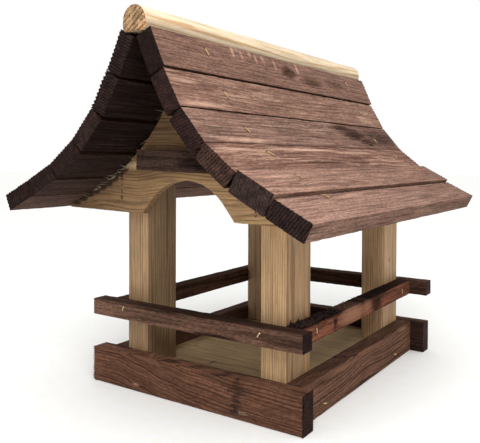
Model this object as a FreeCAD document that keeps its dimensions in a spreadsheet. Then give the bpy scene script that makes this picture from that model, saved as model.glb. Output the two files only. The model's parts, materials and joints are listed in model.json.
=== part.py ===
import FreeCAD, Part
import math
import os
import re

import Sketcher

# Bird table: a low tray with a floor, four corner posts joined by a rail all round, and a swept
# roof of six battens on each side, laid on two profiled gables and closed by a round-backed ridge
# pole. X runs across the gables (front gable at -Y), Y along the ridge, Z up, in millimetres.
# The origin is the middle of the floor's underside.

Vector = FreeCAD.Vector
Placement = FreeCAD.Placement
Rotation = FreeCAD.Rotation

# Driving sizes
SIZES = (
    ("base_across", 196.5, "across the outer faces of the posts, seen on a gable"),
    ("base_deep", 267.0, "along the ridge over the outer faces of the posts"),
    ("floor_thick", 18.5, "floor panel inside the boards"),
    ("board_thick", 18.0, "tray board"),
    ("board_high", 36.5, "tray board"),
    ("board_round", 1.0, "worn long edges of a tray board"),
    ("end_board_over", 12.25, "end board beyond the side boards, each end"),
    ("end_board_front_shift", -2.2, "front board, off the middle"),
    ("end_board_back_shift", 4.5, "back board, off the middle"),
    ("post_wide", 28.0, "planed post, across the gable"),
    ("post_deep", 45.0, "planed post, along the ridge"),
    ("post_round", 1.5, "eased long edges of a post"),
    ("post_top_gap", 0.8, "post top to the slats above it"),
    ("rail_thick", 17.0, "rail"),
    ("rail_high", 17.1, "rail"),
    ("rail_lift", 70.3, "underside of the rails above the ground"),
    ("end_rail_over", 13.25, "end rail beyond the side rails, each end"),
    ("end_rail_front_shift", -3.7, "front rail, off the middle"),
    ("end_rail_back_shift", 7.7, "back rail, off the middle"),
    ("eaves_high", 178.9, "feet of the gables above the ground"),
    ("roof_shift", -10.6, "roof off the middle of the posts"),
    ("lean_angle", 1.27, "degrees that the roof leans down to the right"),
    ("gable_thick", 10.0, "gable board"),
    ("gable_half", 166.0, "middle of the gable to its tip"),
    ("tip_high", 3.0, "upright end of the gable's tip"),
    ("eaves_angle", 25.64, "degrees, slope of the lower slats"),
    ("ridge_angle", 64.36, "degrees, slope of the upper slats"),
    ("sweep_radius", 219.0, "hollow curve between the two slopes"),
    ("steep_run", 40.3, "straight part of the gable's edge below its peak"),
    ("peak_half", 1.45, "half of the flat on the gable's peak"),
    ("arch_high", 36.4, "top of the arch above the gable's feet"),
    ("arch_radius", 59.4, "round part of the arch"),
    ("arch_leg_angle", 50.3, "degrees, straight legs below the round part"),
    ("joint_high", 55.1, "joint between the gable's two boards above its feet"),
    ("collar_high", 20.9, "batten that covers the joint"),
    ("collar_thick", 12.0, "batten that covers the joint"),
    ("collar_end_gap", 7.5, "batten's upper corner to the gable's edge"),
    ("slat_count", 6, "slats on each side"),
    ("slat_wide", 37.9, "sawn slat"),
    ("slat_thick", 17.0, "sawn slat"),
    ("slat_gap", 1.2, "between the outer corners of two slats"),
    ("slat_over", 72.35, "slats beyond the gables, each end"),
    ("first_right_proud", 1.3, "extra thickness of the right side's first slat"),
    ("fifth_right_proud", 3.1, "extra thickness of the right side's fifth slat"),
    ("ridge_wide", 26.0, "ridge pole"),
    ("ridge_high", 22.9, "ridge pole"),
    ("ridge_flat", 22.0, "flat underside of the ridge pole"),
    ("ridge_shoulder", 3.7, "height of the bevel beside that flat"),
    ("ridge_over", 1.2, "ridge pole beyond the slats, each end"),
    ("ridge_seat_gap", 0.1, "ridge pole to the slats' top ends"),
)

doc = FreeCAD.newDocument("BirdTable")
sheet = doc.addObject("Spreadsheet::Sheet", "Sizes")


def write_sizes(rows, first_row):
    """Write named sizes into the sheet, one to a row: name, number, what it is."""
    for offset, (name, number, meaning) in enumerate(rows):
        row = str(first_row + offset)
        sheet.set("A" + row, name)
        sheet.set("B" + row, str(number))
        sheet.set("C" + row, meaning)
        sheet.setAlias("B" + row, name)
    doc.recompute()


def size(name):
    """The number that the sheet holds under this name."""
    return float(sheet.get(name))


write_sizes(SIZES, 1)

# The gable's edge, one side, seen in the roof's own frame
# That frame stands at the gable's feet, X outwards and Z up. The edge runs from the peak down a
# steep straight, a hollow curve and a flatter straight to the tip; the slats lie on it.
STEEP = math.radians(size("ridge_angle"))
FLAT = math.radians(size("eaves_angle"))
SWEEP = size("sweep_radius")
STEEP_RUN = size("steep_run")
sweep_start_x = size("peak_half") + STEEP_RUN * math.cos(STEEP)
sweep_end_x = sweep_start_x + SWEEP * (math.sin(STEEP) - math.sin(FLAT))
sweep_end_z = size("tip_high") + (size("gable_half") - sweep_end_x) * math.tan(FLAT)
sweep_start_z = sweep_end_z + SWEEP * (math.cos(FLAT) - math.cos(STEEP))
sweep_centre_x = sweep_start_x + SWEEP * math.sin(STEEP)
sweep_centre_z = sweep_start_z + SWEEP * math.cos(STEEP)
peak_z = sweep_start_z + STEEP_RUN * math.sin(STEEP)


def edge_point(run):
    """Point on the gable's edge at this run from its peak."""
    if run <= STEEP_RUN:
        return Vector(
            size("peak_half") + run * math.cos(STEEP), 0, peak_z - run * math.sin(STEEP)
        )
    angle = STEEP - (run - STEEP_RUN) / SWEEP
    if angle >= FLAT:
        return Vector(
            sweep_centre_x - SWEEP * math.sin(angle), 0, sweep_centre_z - SWEEP * math.cos(angle)
        )
    rest = run - STEEP_RUN - SWEEP * (STEEP - FLAT)
    return Vector(sweep_end_x + rest * math.cos(FLAT), 0, sweep_end_z - rest * math.sin(FLAT))


def edge_x(height):
    """How far out the gable's edge is at this height above its feet."""
    if height >= sweep_start_z:
        return size("peak_half") + (peak_z - height) / math.tan(STEEP)
    if height >= sweep_end_z:
        drop = sweep_centre_z - height
        return sweep_centre_x - math.sqrt(SWEEP * SWEEP - drop * drop)
    return sweep_end_x + (sweep_end_z - height) / math.tan(FLAT)


def bisect(low, high, is_low):
    """The value between low and high where is_low turns from true to false."""
    for _ in range(50):
        middle = (low + high) / 2
        if is_low(middle):
            low = middle
        else:
            high = middle
    return (low + high) / 2


def bridge(start_run):
    """A slat's inner face, both long edges on the gable's edge, from this run down.

    Returns its upper edge, its lower edge, the lower edge's run and its outward normal.
    """
    wide = size("slat_wide")
    upper = edge_point(start_run)
    end_run = bisect(
        start_run + 0.9 * wide,
        start_run + 1.3 * wide,
        lambda run: (edge_point(run) - upper).Length < wide,
    )
    lower = edge_point(end_run)
    down = (lower - upper).normalize()
    return upper, lower, end_run, Vector(-down.z, 0, down.x)


def lay_slats():
    """Lay the slats down the gable's edge.

    Each one starts where its outer upper corner comes slat_gap from the slat above. Returns, per
    slat, the middle of its inner face and its slope in degrees.
    """
    thick = size("slat_thick")
    laid = []
    start_run = 0.0
    for _ in range(int(size("slat_count"))):
        upper, lower, end_run, normal = bridge(start_run)
        down = (lower - upper).normalize()
        laid.append(((upper + lower) / 2, math.degrees(math.atan2(-down.z, down.x))))
        last_corner = lower + normal * thick

        def too_close(run):
            next_upper, _, _, next_normal = bridge(run)
            return (next_upper + next_normal * thick - last_corner).dot(down) < size("slat_gap")

        start_run = bisect(end_run, end_run + 1.2 * thick, too_close)
    return laid


roof_place = Placement(
    Vector(size("roof_shift"), 0, size("eaves_high")),
    Rotation(Vector(0, 1, 0), size("lean_angle")),
)


def roof_height(world_x, side):
    """Height above the ground of the gable's edge at this X, on the side -1 or +1."""

    def at(run):
        point = edge_point(run)
        return roof_place.multVec(Vector(side * point.x, 0, point.z))

    longest = size("slat_count") * (size("slat_wide") + size("slat_thick"))
    run = bisect(0, longest, lambda trial: side * at(trial).x < side * world_x)
    return at(run).z


# Sizes worked out from the driving ones
post_corner = size("base_across") / 2
post_top = min(roof_height(side * post_corner, side) for side in (-1, 1)) - size("post_top_gap")
collar_top = size("joint_high") + size("collar_high") / 2
end_face_rise = 1 / math.tan(STEEP)
ridge_seat = peak_z + (size("ridge_flat") / 2 - size("peak_half")) * end_face_rise
board_overlap = size("board_thick") + size("end_board_over")
rail_overlap = size("rail_thick") + size("end_rail_over")
slat_long = size("base_deep") + 2 * (size("gable_thick") + size("slat_over"))
LEG = math.radians(size("arch_leg_angle"))
arch_centre_z = size("arch_high") - size("arch_radius")
spring_x = size("arch_radius") * math.sin(LEG)
spring_z = arch_centre_z + size("arch_radius") * math.cos(LEG)

WORKED_OUT = (
    ("post_long", post_top - size("floor_thick"), "post from the floor to just under the slats"),
    ("end_board_long", size("base_across") + 2 * board_overlap, "tray board at an end"),
    ("end_rail_long", size("base_across") + 2 * rail_overlap, "rail at an end"),
    ("sweep_mid_x", sweep_centre_x, "centre of the hollow curve, outwards"),
    ("sweep_mid_z", sweep_centre_z, "centre of the hollow curve, above the feet"),
    ("peak_high", peak_z, "peak of the gable above its feet"),
    ("arch_foot_half", spring_x + spring_z / math.tan(LEG), "middle of the arch to a foot"),
    ("collar_long", 2 * (edge_x(collar_top) - size("collar_end_gap")), "batten over the joint"),
    ("slat_long", slat_long, "slat over both gables"),
    ("first_right_thick", size("slat_thick") + size("first_right_proud"), "thicker slat"),
    ("fifth_right_thick", size("slat_thick") + size("fifth_right_proud"), "thicker slat"),
    ("ridge_long", slat_long + 2 * size("ridge_over"), "ridge pole"),
    ("ridge_round_from", size("ridge_high") - size("ridge_wide") / 2, "middle of its round back"),
    ("ridge_lift", ridge_seat + size("ridge_seat_gap"), "ridge pole's flat above the feet"),
)
write_sizes(WORKED_OUT, len(SIZES) + 2)

# Building helpers
PLANE_ACROSS = {"X": "YZ_Plane", "Y": "XZ_Plane", "Z": "XY_Plane"}
DIRECTION = {"X": Vector(1, 0, 0), "Y": Vector(0, 1, 0), "Z": Vector(0, 0, 1)}
pieces = []


def new_body(name):
    """An empty body that becomes the piece of this name."""
    body = doc.addObject("PartDesign::Body", name)
    body.Label = name
    pieces.append(body)
    return body


def origin_plane(body, role):
    """The body's own origin plane with this role."""
    return next(item for item in body.Origin.OriginFeatures if item.Role == role)


def new_sketch(body, name, role):
    """A sketch on one of the body's origin planes."""
    sketch = body.newObject("Sketcher::SketchObject", name)
    sketch.AttachmentSupport = [(origin_plane(body, role), "")]
    sketch.MapMode = "FlatFace"
    return sketch


def draw(sketch, corners, round_sides):
    """Draw a closed outline through the corners and tie each side's end to the next side.

    round_sides holds the centre of each side that is round; a side is counted by its first corner.
    """
    ends = []
    for index, corner in enumerate(corners):
        start = Vector(*corner, 0)
        finish = Vector(*corners[(index + 1) % len(corners)], 0)
        if index not in round_sides:
            sketch.addGeometry(Part.LineSegment(start, finish), False)
            ends.append((1, 2))
            continue
        centre = Vector(*round_sides[index], 0)
        circle = Part.Circle(centre, Vector(0, 0, 1), (start - centre).Length)
        begin = circle.parameter(start)
        turn = (circle.parameter(finish) - begin) % (2 * math.pi)
        if turn <= math.pi:
            sketch.addGeometry(Part.ArcOfCircle(circle, begin, begin + turn), False)
            ends.append((1, 2))
        else:
            sketch.addGeometry(Part.ArcOfCircle(circle, begin + turn, begin + 2 * math.pi), False)
            ends.append((2, 1))
    return ends


def join_sides(sketch, ends, smooth=()):
    """Join each side to the next one, smoothly after the sides whose index is in smooth."""
    for index, (_, last) in enumerate(ends):
        following = (index + 1) % len(ends)
        kind = "Tangent" if index in smooth else "Coincident"
        tie(sketch, kind, index, last, following, ends[following][0])


def tie(sketch, kind, *where):
    """Add one constraint without a size."""
    sketch.addConstraint(Sketcher.Constraint(kind, *where))


def measure(sketch, kind, name, *where):
    """Add one dimension that follows the sheet's size of this name."""
    index = sketch.addConstraint(Sketcher.Constraint(kind, *where, size(name)))
    sketch.renameConstraint(index, name)
    sketch.setExpression("Constraints." + name, "Sizes." + name)


def pad_evenly(body, sketch, name):
    """Pad the sketch by the size of this name, half to each side of its plane."""
    pad = body.newObject("PartDesign::Pad", body.Name + "_pad")
    pad.Profile = sketch
    pad.SideType = "Symmetric"
    pad.setExpression("Length", "Sizes." + name)
    body.Tip = pad
    return pad


def ease_long_edges(body, pad, length_axis, name):
    """Round the edges that run along the piece."""
    doc.recompute()
    long_edges = []
    for number, edge in enumerate(pad.Shape.Edges, start=1):
        run = edge.Vertexes[-1].Point - edge.Vertexes[0].Point
        if abs(run.dot(DIRECTION[length_axis])) > 0.999 * run.Length:
            long_edges.append("Edge%d" % number)
    fillet = body.newObject("PartDesign::Fillet", body.Name + "_eased")
    fillet.Base = (pad, long_edges)
    fillet.setExpression("Radius", "Sizes." + name)
    body.Tip = fillet


def timber(name, length_axis, across, up, length, easing=None):
    """A straight piece with its middle at the body's origin.

    across and up name the sizes of its section, length that of its run, and easing that of its
    rounded long edges.
    """
    body = new_body(name)
    sketch = new_sketch(body, name + "_section", PLANE_ACROSS[length_axis])
    half_across = size(across) / 2
    half_up = size(up) / 2
    corners = (
        (-half_across, -half_up),
        (half_across, -half_up),
        (half_across, half_up),
        (-half_across, half_up),
    )
    join_sides(sketch, draw(sketch, corners, {}))
    for side in (0, 2):
        tie(sketch, "Horizontal", side)
        tie(sketch, "Vertical", side + 1)
    tie(sketch, "Symmetric", 0, 1, 2, 1, -1, 1)
    measure(sketch, "DistanceX", across, 0, 1, 0, 2)
    measure(sketch, "DistanceY", up, 1, 1, 1, 2)
    pad = pad_evenly(body, sketch, length)
    if easing:
        ease_long_edges(body, pad, length_axis, easing)
    return body


def place(body, x=None, y=None, z=None):
    """Carry a piece to its place by formulas on the sheet's sizes."""
    for axis, formula in (("x", x), ("y", y), ("z", z)):
        if formula:
            named = re.sub(r"[a-z]+_[a-z_]+", r"Sizes.\g<0>", formula)
            body.setExpression("Placement.Base." + axis, named)


# Tray: floor, side boards between the end boards
floor = timber("floor_panel", "Z", "base_across", "base_deep", "floor_thick")
place(floor, z="floor_thick / 2")

for side_name, side in (("left", "-1"), ("right", "1")):
    board = timber(
        "side_board_" + side_name, "Y", "board_thick", "board_high", "base_deep", "board_round"
    )
    place(board, x=side + " * (base_across + board_thick) / 2", z="board_high / 2")

for end_name, end in (("front", "-1"), ("back", "1")):
    board = timber(
        "end_board_" + end_name, "X", "board_thick", "board_high", "end_board_long", "board_round"
    )
    place(
        board,
        x="end_board_%s_shift" % end_name,
        y=end + " * (base_deep + board_thick) / 2",
        z="board_high / 2",
    )

# Posts on the floor, flush with the inner faces of the boards
for end_name, end in (("front", "-1"), ("back", "1")):
    for side_name, side in (("left", "-1"), ("right", "1")):
        post = timber(
            "post_%s_%s" % (end_name, side_name),
            "Z", "post_wide", "post_deep", "post_long", "post_round",
        )
        place(
            post,
            x=side + " * (base_across - post_wide) / 2",
            y=end + " * (base_deep - post_deep) / 2",
            z="floor_thick + post_long / 2",
        )

# Rails on the outer faces of the posts, side rails between the end rails
for side_name, side in (("left", "-1"), ("right", "1")):
    rail = timber("side_rail_" + side_name, "Y", "rail_thick", "rail_high", "base_deep")
    place(rail, x=side + " * (base_across + rail_thick) / 2", z="rail_lift + rail_high / 2")

for end_name, end in (("front", "-1"), ("back", "1")):
    rail = timber("end_rail_" + end_name, "X", "rail_thick", "rail_high", "end_rail_long")
    place(
        rail,
        x="end_rail_%s_shift" % end_name,
        y=end + " * (base_deep + rail_thick) / 2",
        z="rail_lift + rail_high / 2",
    )


# Gables: an arched lower board and an apex board, each drawn as one half and mirrored
def mirrored(body, pad):
    """Complete a half that was drawn to the right of the body's middle plane."""
    mirror = body.newObject("PartDesign::Mirrored", body.Name + "_whole")
    mirror.Originals = [pad]
    mirror.MirrorPlane = (origin_plane(body, "YZ_Plane"), [""])
    body.Tip = mirror


def fix_sweep(sketch, side):
    """Fix the hollow curve of a gable's edge by its radius and its centre."""
    measure(sketch, "Radius", "sweep_radius", side)
    measure(sketch, "DistanceX", "sweep_mid_x", -1, 1, side, 3)
    measure(sketch, "DistanceY", "sweep_mid_z", -1, 1, side, 3)


def gable_arch(name):
    """The lower board, with the arch cut into its foot and the hollow curve on its edge."""
    body = new_body(name)
    sketch = new_sketch(body, name + "_half", "XZ_Plane")
    joint = size("joint_high")
    corners = (
        (0, size("arch_high")),
        (0, joint),
        (edge_x(joint), joint),
        (sweep_end_x, sweep_end_z),
        (size("gable_half"), size("tip_high")),
        (size("gable_half"), 0),
        (size("arch_foot_half"), 0),
        (spring_x, spring_z),
    )
    middle, top, sweep, eaves, tip, foot, leg, arch = range(8)
    centres = {sweep: (sweep_centre_x, sweep_centre_z), arch: (0, arch_centre_z)}
    join_sides(sketch, draw(sketch, corners, centres), smooth=(sweep, leg))
    tie(sketch, "PointOnObject", middle, 1, -2)
    tie(sketch, "Vertical", middle)
    tie(sketch, "Horizontal", top)
    tie(sketch, "Vertical", tip)
    tie(sketch, "PointOnObject", foot, 1, -1)
    tie(sketch, "PointOnObject", foot, 2, -1)
    tie(sketch, "PointOnObject", arch, 3, -2)
    fix_sweep(sketch, sweep)
    measure(sketch, "DistanceY", "arch_high", -1, 1, middle, 1)
    measure(sketch, "DistanceY", "joint_high", -1, 1, middle, 2)
    measure(sketch, "DistanceX", "gable_half", -1, 1, tip, 2)
    measure(sketch, "DistanceY", "tip_high", tip, 2, tip, 1)
    measure(sketch, "DistanceX", "arch_foot_half", -1, 1, foot, 2)
    measure(sketch, "Radius", "arch_radius", arch)
    mirrored(body, pad_evenly(body, sketch, "gable_thick"))
    return body


def gable_apex(name):
    """The upper board, from the joint to the peak."""
    body = new_body(name)
    sketch = new_sketch(body, name + "_half", "XZ_Plane")
    joint = size("joint_high")
    corners = (
        (0, joint),
        (0, peak_z),
        (size("peak_half"), peak_z),
        (sweep_start_x, sweep_start_z),
        (edge_x(joint), joint),
    )
    middle, peak, steep, sweep, foot = range(5)
    centres = {sweep: (sweep_centre_x, sweep_centre_z)}
    join_sides(sketch, draw(sketch, corners, centres), smooth=(steep,))
    tie(sketch, "PointOnObject", middle, 1, -2)
    tie(sketch, "Vertical", middle)
    tie(sketch, "Horizontal", peak)
    tie(sketch, "Horizontal", foot)
    fix_sweep(sketch, sweep)
    measure(sketch, "DistanceY", "joint_high", -1, 1, middle, 1)
    measure(sketch, "DistanceY", "peak_high", -1, 1, middle, 2)
    measure(sketch, "DistanceX", "peak_half", peak, 1, peak, 2)
    mirrored(body, pad_evenly(body, sketch, "gable_thick"))
    return body


def on_roof(body, x=0.0, y=0.0, z=0.0, slope=0.0):
    """Carry a piece to its place in the roof's own frame, turned down by slope degrees."""
    local = Placement(Vector(x, y, z), Rotation(Vector(0, 1, 0), slope))
    body.Placement = roof_place.multiply(local)


gable_face = size("base_deep") / 2
for end_name, end in (("front", -1), ("back", 1)):
    gable_y = end * (gable_face + size("gable_thick") / 2)
    collar_y = end * (gable_face + size("gable_thick") + size("collar_thick") / 2)
    on_roof(gable_arch("gable_arch_" + end_name), y=gable_y)
    on_roof(gable_apex("gable_apex_" + end_name), y=gable_y)
    collar = timber("collar_" + end_name, "X", "collar_thick", "collar_high", "collar_long")
    on_roof(collar, y=collar_y, z=size("joint_high"))

# Slats, numbered from the ridge down; two on the right are from thicker stock
THICKER = {"slat_right_1": "first_right_thick", "slat_right_5": "fifth_right_thick"}
for side_name, side in (("left", -1), ("right", 1)):
    for number, (middle, slope) in enumerate(lay_slats(), start=1):
        name = "slat_%s_%d" % (side_name, number)
        thick = THICKER.get(name, "slat_thick")
        lean = math.radians(slope)
        out = size(thick) / 2
        slat = timber(name, "Y", "slat_wide", thick, "slat_long")
        on_roof(
            slat,
            x=side * (middle.x + out * math.sin(lean)),
            z=middle.z + out * math.cos(lean),
            slope=side * slope,
        )


# Ridge pole: flat below, bevelled beside the flat, half round above, in the slats' top ends
def ridge_pole(name):
    """The pole, the middle of its flat underside at the body's origin."""
    body = new_body(name)
    sketch = new_sketch(body, name + "_section", "XZ_Plane")
    half = size("ridge_wide") / 2
    half_flat = size("ridge_flat") / 2
    corners = (
        (-half_flat, 0),
        (half_flat, 0),
        (half, size("ridge_shoulder")),
        (half, size("ridge_round_from")),
        (-half, size("ridge_round_from")),
        (-half, size("ridge_shoulder")),
    )
    flat, right_bevel, right_side, back, left_side, left_bevel = range(6)
    centres = {back: (0, size("ridge_round_from"))}
    join_sides(sketch, draw(sketch, corners, centres), smooth=(right_side, back))
    tie(sketch, "Symmetric", flat, 1, flat, 2, -1, 1)
    tie(sketch, "Horizontal", flat)
    tie(sketch, "Vertical", right_side)
    tie(sketch, "Symmetric", right_bevel, 2, left_bevel, 1, -2)
    tie(sketch, "PointOnObject", back, 3, -2)
    measure(sketch, "DistanceX", "ridge_flat", flat, 1, flat, 2)
    measure(sketch, "DistanceX", "ridge_wide", left_bevel, 1, right_bevel, 2)
    measure(sketch, "DistanceY", "ridge_shoulder", -1, 1, right_bevel, 2)
    measure(sketch, "DistanceY", "ridge_round_from", -1, 1, back, 3)
    pad_evenly(body, sketch, "ridge_long")
    return body


on_roof(ridge_pole("ridge_pole"), z=size("ridge_lift"))

# Check the document, then write one file for each piece
doc.recompute()
for item in doc.Objects:
    if "Invalid" in item.State or "Error" in item.State:
        raise RuntimeError("%s failed: %s" % (item.Label, item.State))
for body in pieces:
    shape = body.Shape
    if shape.isNull() or not shape.isValid() or len(shape.Solids) != 1:
        raise RuntimeError("%s is not one sound solid" % body.Label)

os.makedirs("parts", exist_ok=True)
for body in pieces:
    body.Shape.exportStep("parts/%s.step" % body.Label)
print("wrote %d pieces" % len(pieces))
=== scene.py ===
import json
import math
import random

import bpy
from mathutils import Matrix, Vector, noise


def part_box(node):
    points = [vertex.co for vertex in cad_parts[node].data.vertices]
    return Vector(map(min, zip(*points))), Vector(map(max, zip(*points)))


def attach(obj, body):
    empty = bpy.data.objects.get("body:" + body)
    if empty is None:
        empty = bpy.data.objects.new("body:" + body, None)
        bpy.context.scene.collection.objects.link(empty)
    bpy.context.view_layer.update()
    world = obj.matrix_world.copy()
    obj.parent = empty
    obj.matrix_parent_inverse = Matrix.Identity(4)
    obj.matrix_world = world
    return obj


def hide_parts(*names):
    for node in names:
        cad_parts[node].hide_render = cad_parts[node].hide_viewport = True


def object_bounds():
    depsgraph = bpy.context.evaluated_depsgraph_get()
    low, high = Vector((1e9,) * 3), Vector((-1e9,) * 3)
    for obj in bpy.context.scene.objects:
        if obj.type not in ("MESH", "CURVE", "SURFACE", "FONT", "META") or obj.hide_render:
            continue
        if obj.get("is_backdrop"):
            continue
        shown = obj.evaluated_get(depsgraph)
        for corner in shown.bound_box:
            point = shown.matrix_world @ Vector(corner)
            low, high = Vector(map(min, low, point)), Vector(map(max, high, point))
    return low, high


bl_info = {
    "name": "Bird table with a swept roof",
    "version": (1, 0, 0),
    "blender": (4, 5, 0),
    "location": "3D View > Sidebar > Bird table",
    "description": "Sawn slats, planed posts, gables, tray and staples of a wooden bird table",
    "category": "Object",
}

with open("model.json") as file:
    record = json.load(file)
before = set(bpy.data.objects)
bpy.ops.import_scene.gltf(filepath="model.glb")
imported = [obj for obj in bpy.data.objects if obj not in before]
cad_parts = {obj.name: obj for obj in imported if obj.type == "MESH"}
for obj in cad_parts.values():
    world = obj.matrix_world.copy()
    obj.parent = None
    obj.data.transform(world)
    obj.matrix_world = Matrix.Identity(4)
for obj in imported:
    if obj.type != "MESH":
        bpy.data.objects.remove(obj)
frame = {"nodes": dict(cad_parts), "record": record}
CAD_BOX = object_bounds()
MM = 0.001


def linear(hex_colour):
    """An sRGB hex colour as linear red, green and blue."""
    channels = [int(hex_colour[place : place + 2], 16) / 255 for place in (1, 3, 5)]
    return tuple(
        value / 12.92 if value <= 0.04045 else ((value + 0.055) / 1.055) ** 2.4
        for value in channels
    )


def colour(name, description, hex_colour):
    """A colour property with this default."""
    return bpy.props.FloatVectorProperty(
        name=name,
        description=description,
        default=linear(hex_colour),
        size=3,
        min=0.0,
        max=1.0,
        subtype="COLOR",
    )


def length(name, description, millimetres):
    """A length property, in metres, with this default in millimetres."""
    return bpy.props.FloatProperty(
        name=name,
        description=description,
        default=millimetres * MM,
        min=0.0,
        subtype="DISTANCE",
        unit="LENGTH",
    )


class TimberSizes(bpy.types.PropertyGroup):
    """How the surfaces of the timber are worn and cut."""

    mesh_step: length("Mesh step", "Distance between the points along a piece", 2.5)
    sawn_corner: length("Sawn corner", "Rounding of a sawn piece's corners", 0.45)
    board_corner: length("Board corner", "Rounding of a tray board's corners", 1.3)
    planed_corner: length("Planed corner", "Rounding of a post's corners", 1.6)
    sawn_rough: length("Sawn roughness", "How far a sawn face wanders in and out", 0.35)
    planed_rough: length("Planed roughness", "How far a planed face wanders", 0.08)
    edge_loss: length("Edge loss", "Deepest fibre torn from a sawn edge", 0.45)
    end_teeth: length("End teeth", "Depth of the teeth that the saw left at a sawn end", 0.9)
    staple_crown: length("Staple crown", "Width of a staple's crown", 7.2)
    staple_wire: length("Staple wire", "Width of a staple's wire", 1.3)


class TimberColours(bpy.types.PropertyGroup):
    """Colours of the timber and the staples."""

    slat: colour("Slat", "Stained sawn face of a roof slat", "#8A6759")
    slat_dark: colour("Slat, dark grain", "Late wood in a stained slat", "#6A4C42")
    slat_pale: colour("Slat, worn", "Where the stain on a slat is thin", "#D0A992")
    sawn_end: colour("Sawn end", "Stained end grain", "#3E2E2A")
    sawn_end_dark: colour("Sawn end, dark", "Dark rings in stained end grain", "#181010")
    board: colour("Board", "Stained tray board", "#7C5744")
    board_dark: colour("Board, dark grain", "Late wood in a tray board", "#33201A")
    board_pale: colour("Board, worn", "Where the stain on a board is thin", "#8E6650")
    post: colour("Post", "Planed pine post", "#C6A57D")
    post_dark: colour("Post, dark grain", "Late wood in a post", "#935F30")
    post_warm: colour("Post, resin", "Resin-stained streaks in a post", "#C08A58")
    gable: colour("Gable", "Planed pine gable", "#B5956C")
    gable_dark: colour("Gable, dark grain", "Late wood in a gable", "#78522F")
    gable_pale: colour("Gable, worn", "Pale sapwood in a gable", "#CDB48C")
    ridge: colour("Ridge pole", "Planed pale pine", "#EEDDC4")
    ridge_dark: colour("Ridge pole, dark grain", "Late wood in the ridge pole", "#C39A6C")
    ridge_end: colour("Ridge pole, sawn end", "End grain of the ridge pole", "#B79D79")
    ridge_end_dark: colour("Ridge pole, saw lines", "Saw lines on its end", "#7A5B3E")
    floor: colour("Floor", "Planed floor panel", "#A38B66")
    floor_dark: colour("Floor, dark grain", "Late wood in the floor panel", "#7E6645")
    staple: colour("Staple", "Brass-coated steel wire", "#E6CB92")
    staple_bare: colour("Staple, bare", "Steel where the coat has worn off", "#B08D62")
    rust: colour("Staple, rusted", "Rust on the gables' staples", "#4A2C1A")
    splinter: colour("Splinter", "Torn pale fibre", "#B8A88C")
    splinter_dark: colour("Splinter, weathered", "Torn fibre turned grey", "#6E6A60")
    bark: colour("Bark", "Bark left on a rail", "#1A1110")
    bark_pale: colour("Bark, scuffed", "Inner bark where it is scuffed", "#45291F")
    stage: colour("Stage", "Pale studio floor", "#F9F9F8")
    stage_shade: colour("Floor paint, thinner", "Where the roller left less paint", "#F7F7F2")


# Materials
# What each point of a timber piece carries: its place in the grain, its marks, and its colour
# share with painted shade and painted light
FIELDS = ("grain", "marks", "tint")
# Share of the colour that is left in a knot or a stain, and in the painted shadow along the
# front gable's edge
DARK_MARK = (0.2, 0.15, 0.13, 1.0)
# Bands of a wave texture in 2 pi units
WAVE_BANDS = 20
# A colour mix's sockets, by number, because its names stand for several: three in, one out
SHARE, FIRST, SECOND, MIXED = 0, 6, 7, 2


def add(tree, kind, inputs=None, output=0, **settings):
    """Add a node with its settings, and its inputs' numbers and links; return one output."""
    node = tree.nodes.new(kind)
    for name, value in settings.items():
        setattr(node, name, value)
    for name, value in (inputs or {}).items():
        if isinstance(value, bpy.types.NodeSocket):
            tree.links.new(value, node.inputs[name])
        else:
            node.inputs[name].default_value = value
    return node.outputs[output] if node.outputs else None


def rgba(colour_value):
    """A colour with full alpha, as a node's socket takes it."""
    return (*colour_value, 1.0)


def empty_material(name):
    """A material with an empty node tree, and that tree."""
    made = bpy.data.materials.new(name)
    made.use_nodes = True
    made.node_tree.nodes.clear()
    return made, made.node_tree


def set_surface(tree, base, height, bump_mm, constants):
    """Add the shader with its colour, its bumps and its constants, and the output."""
    normal = add(tree, "ShaderNodeBump", {"Height": height, "Distance": bump_mm * MM})
    surface = add(
        tree, "ShaderNodeBsdfPrincipled", {"Base Color": base, "Normal": normal, **constants}
    )
    add(tree, "ShaderNodeOutputMaterial", {"Surface": surface})


def uneven(tree, grain, along_mm, across_mm, detail=2.0, rough=0.5):
    """Unevenness from 0 to 1 in spots this long along the grain and this wide across it."""
    scale = (1 / (along_mm * MM), 1 / (across_mm * MM), 1 / (across_mm * MM))
    place = add(tree, "ShaderNodeVectorMath", {0: grain, 1: scale}, operation="MULTIPLY")
    return add(
        tree, "ShaderNodeTexNoise",
        {"Vector": place, "Scale": 1.0, "Detail": detail, "Roughness": rough},
    )


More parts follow.
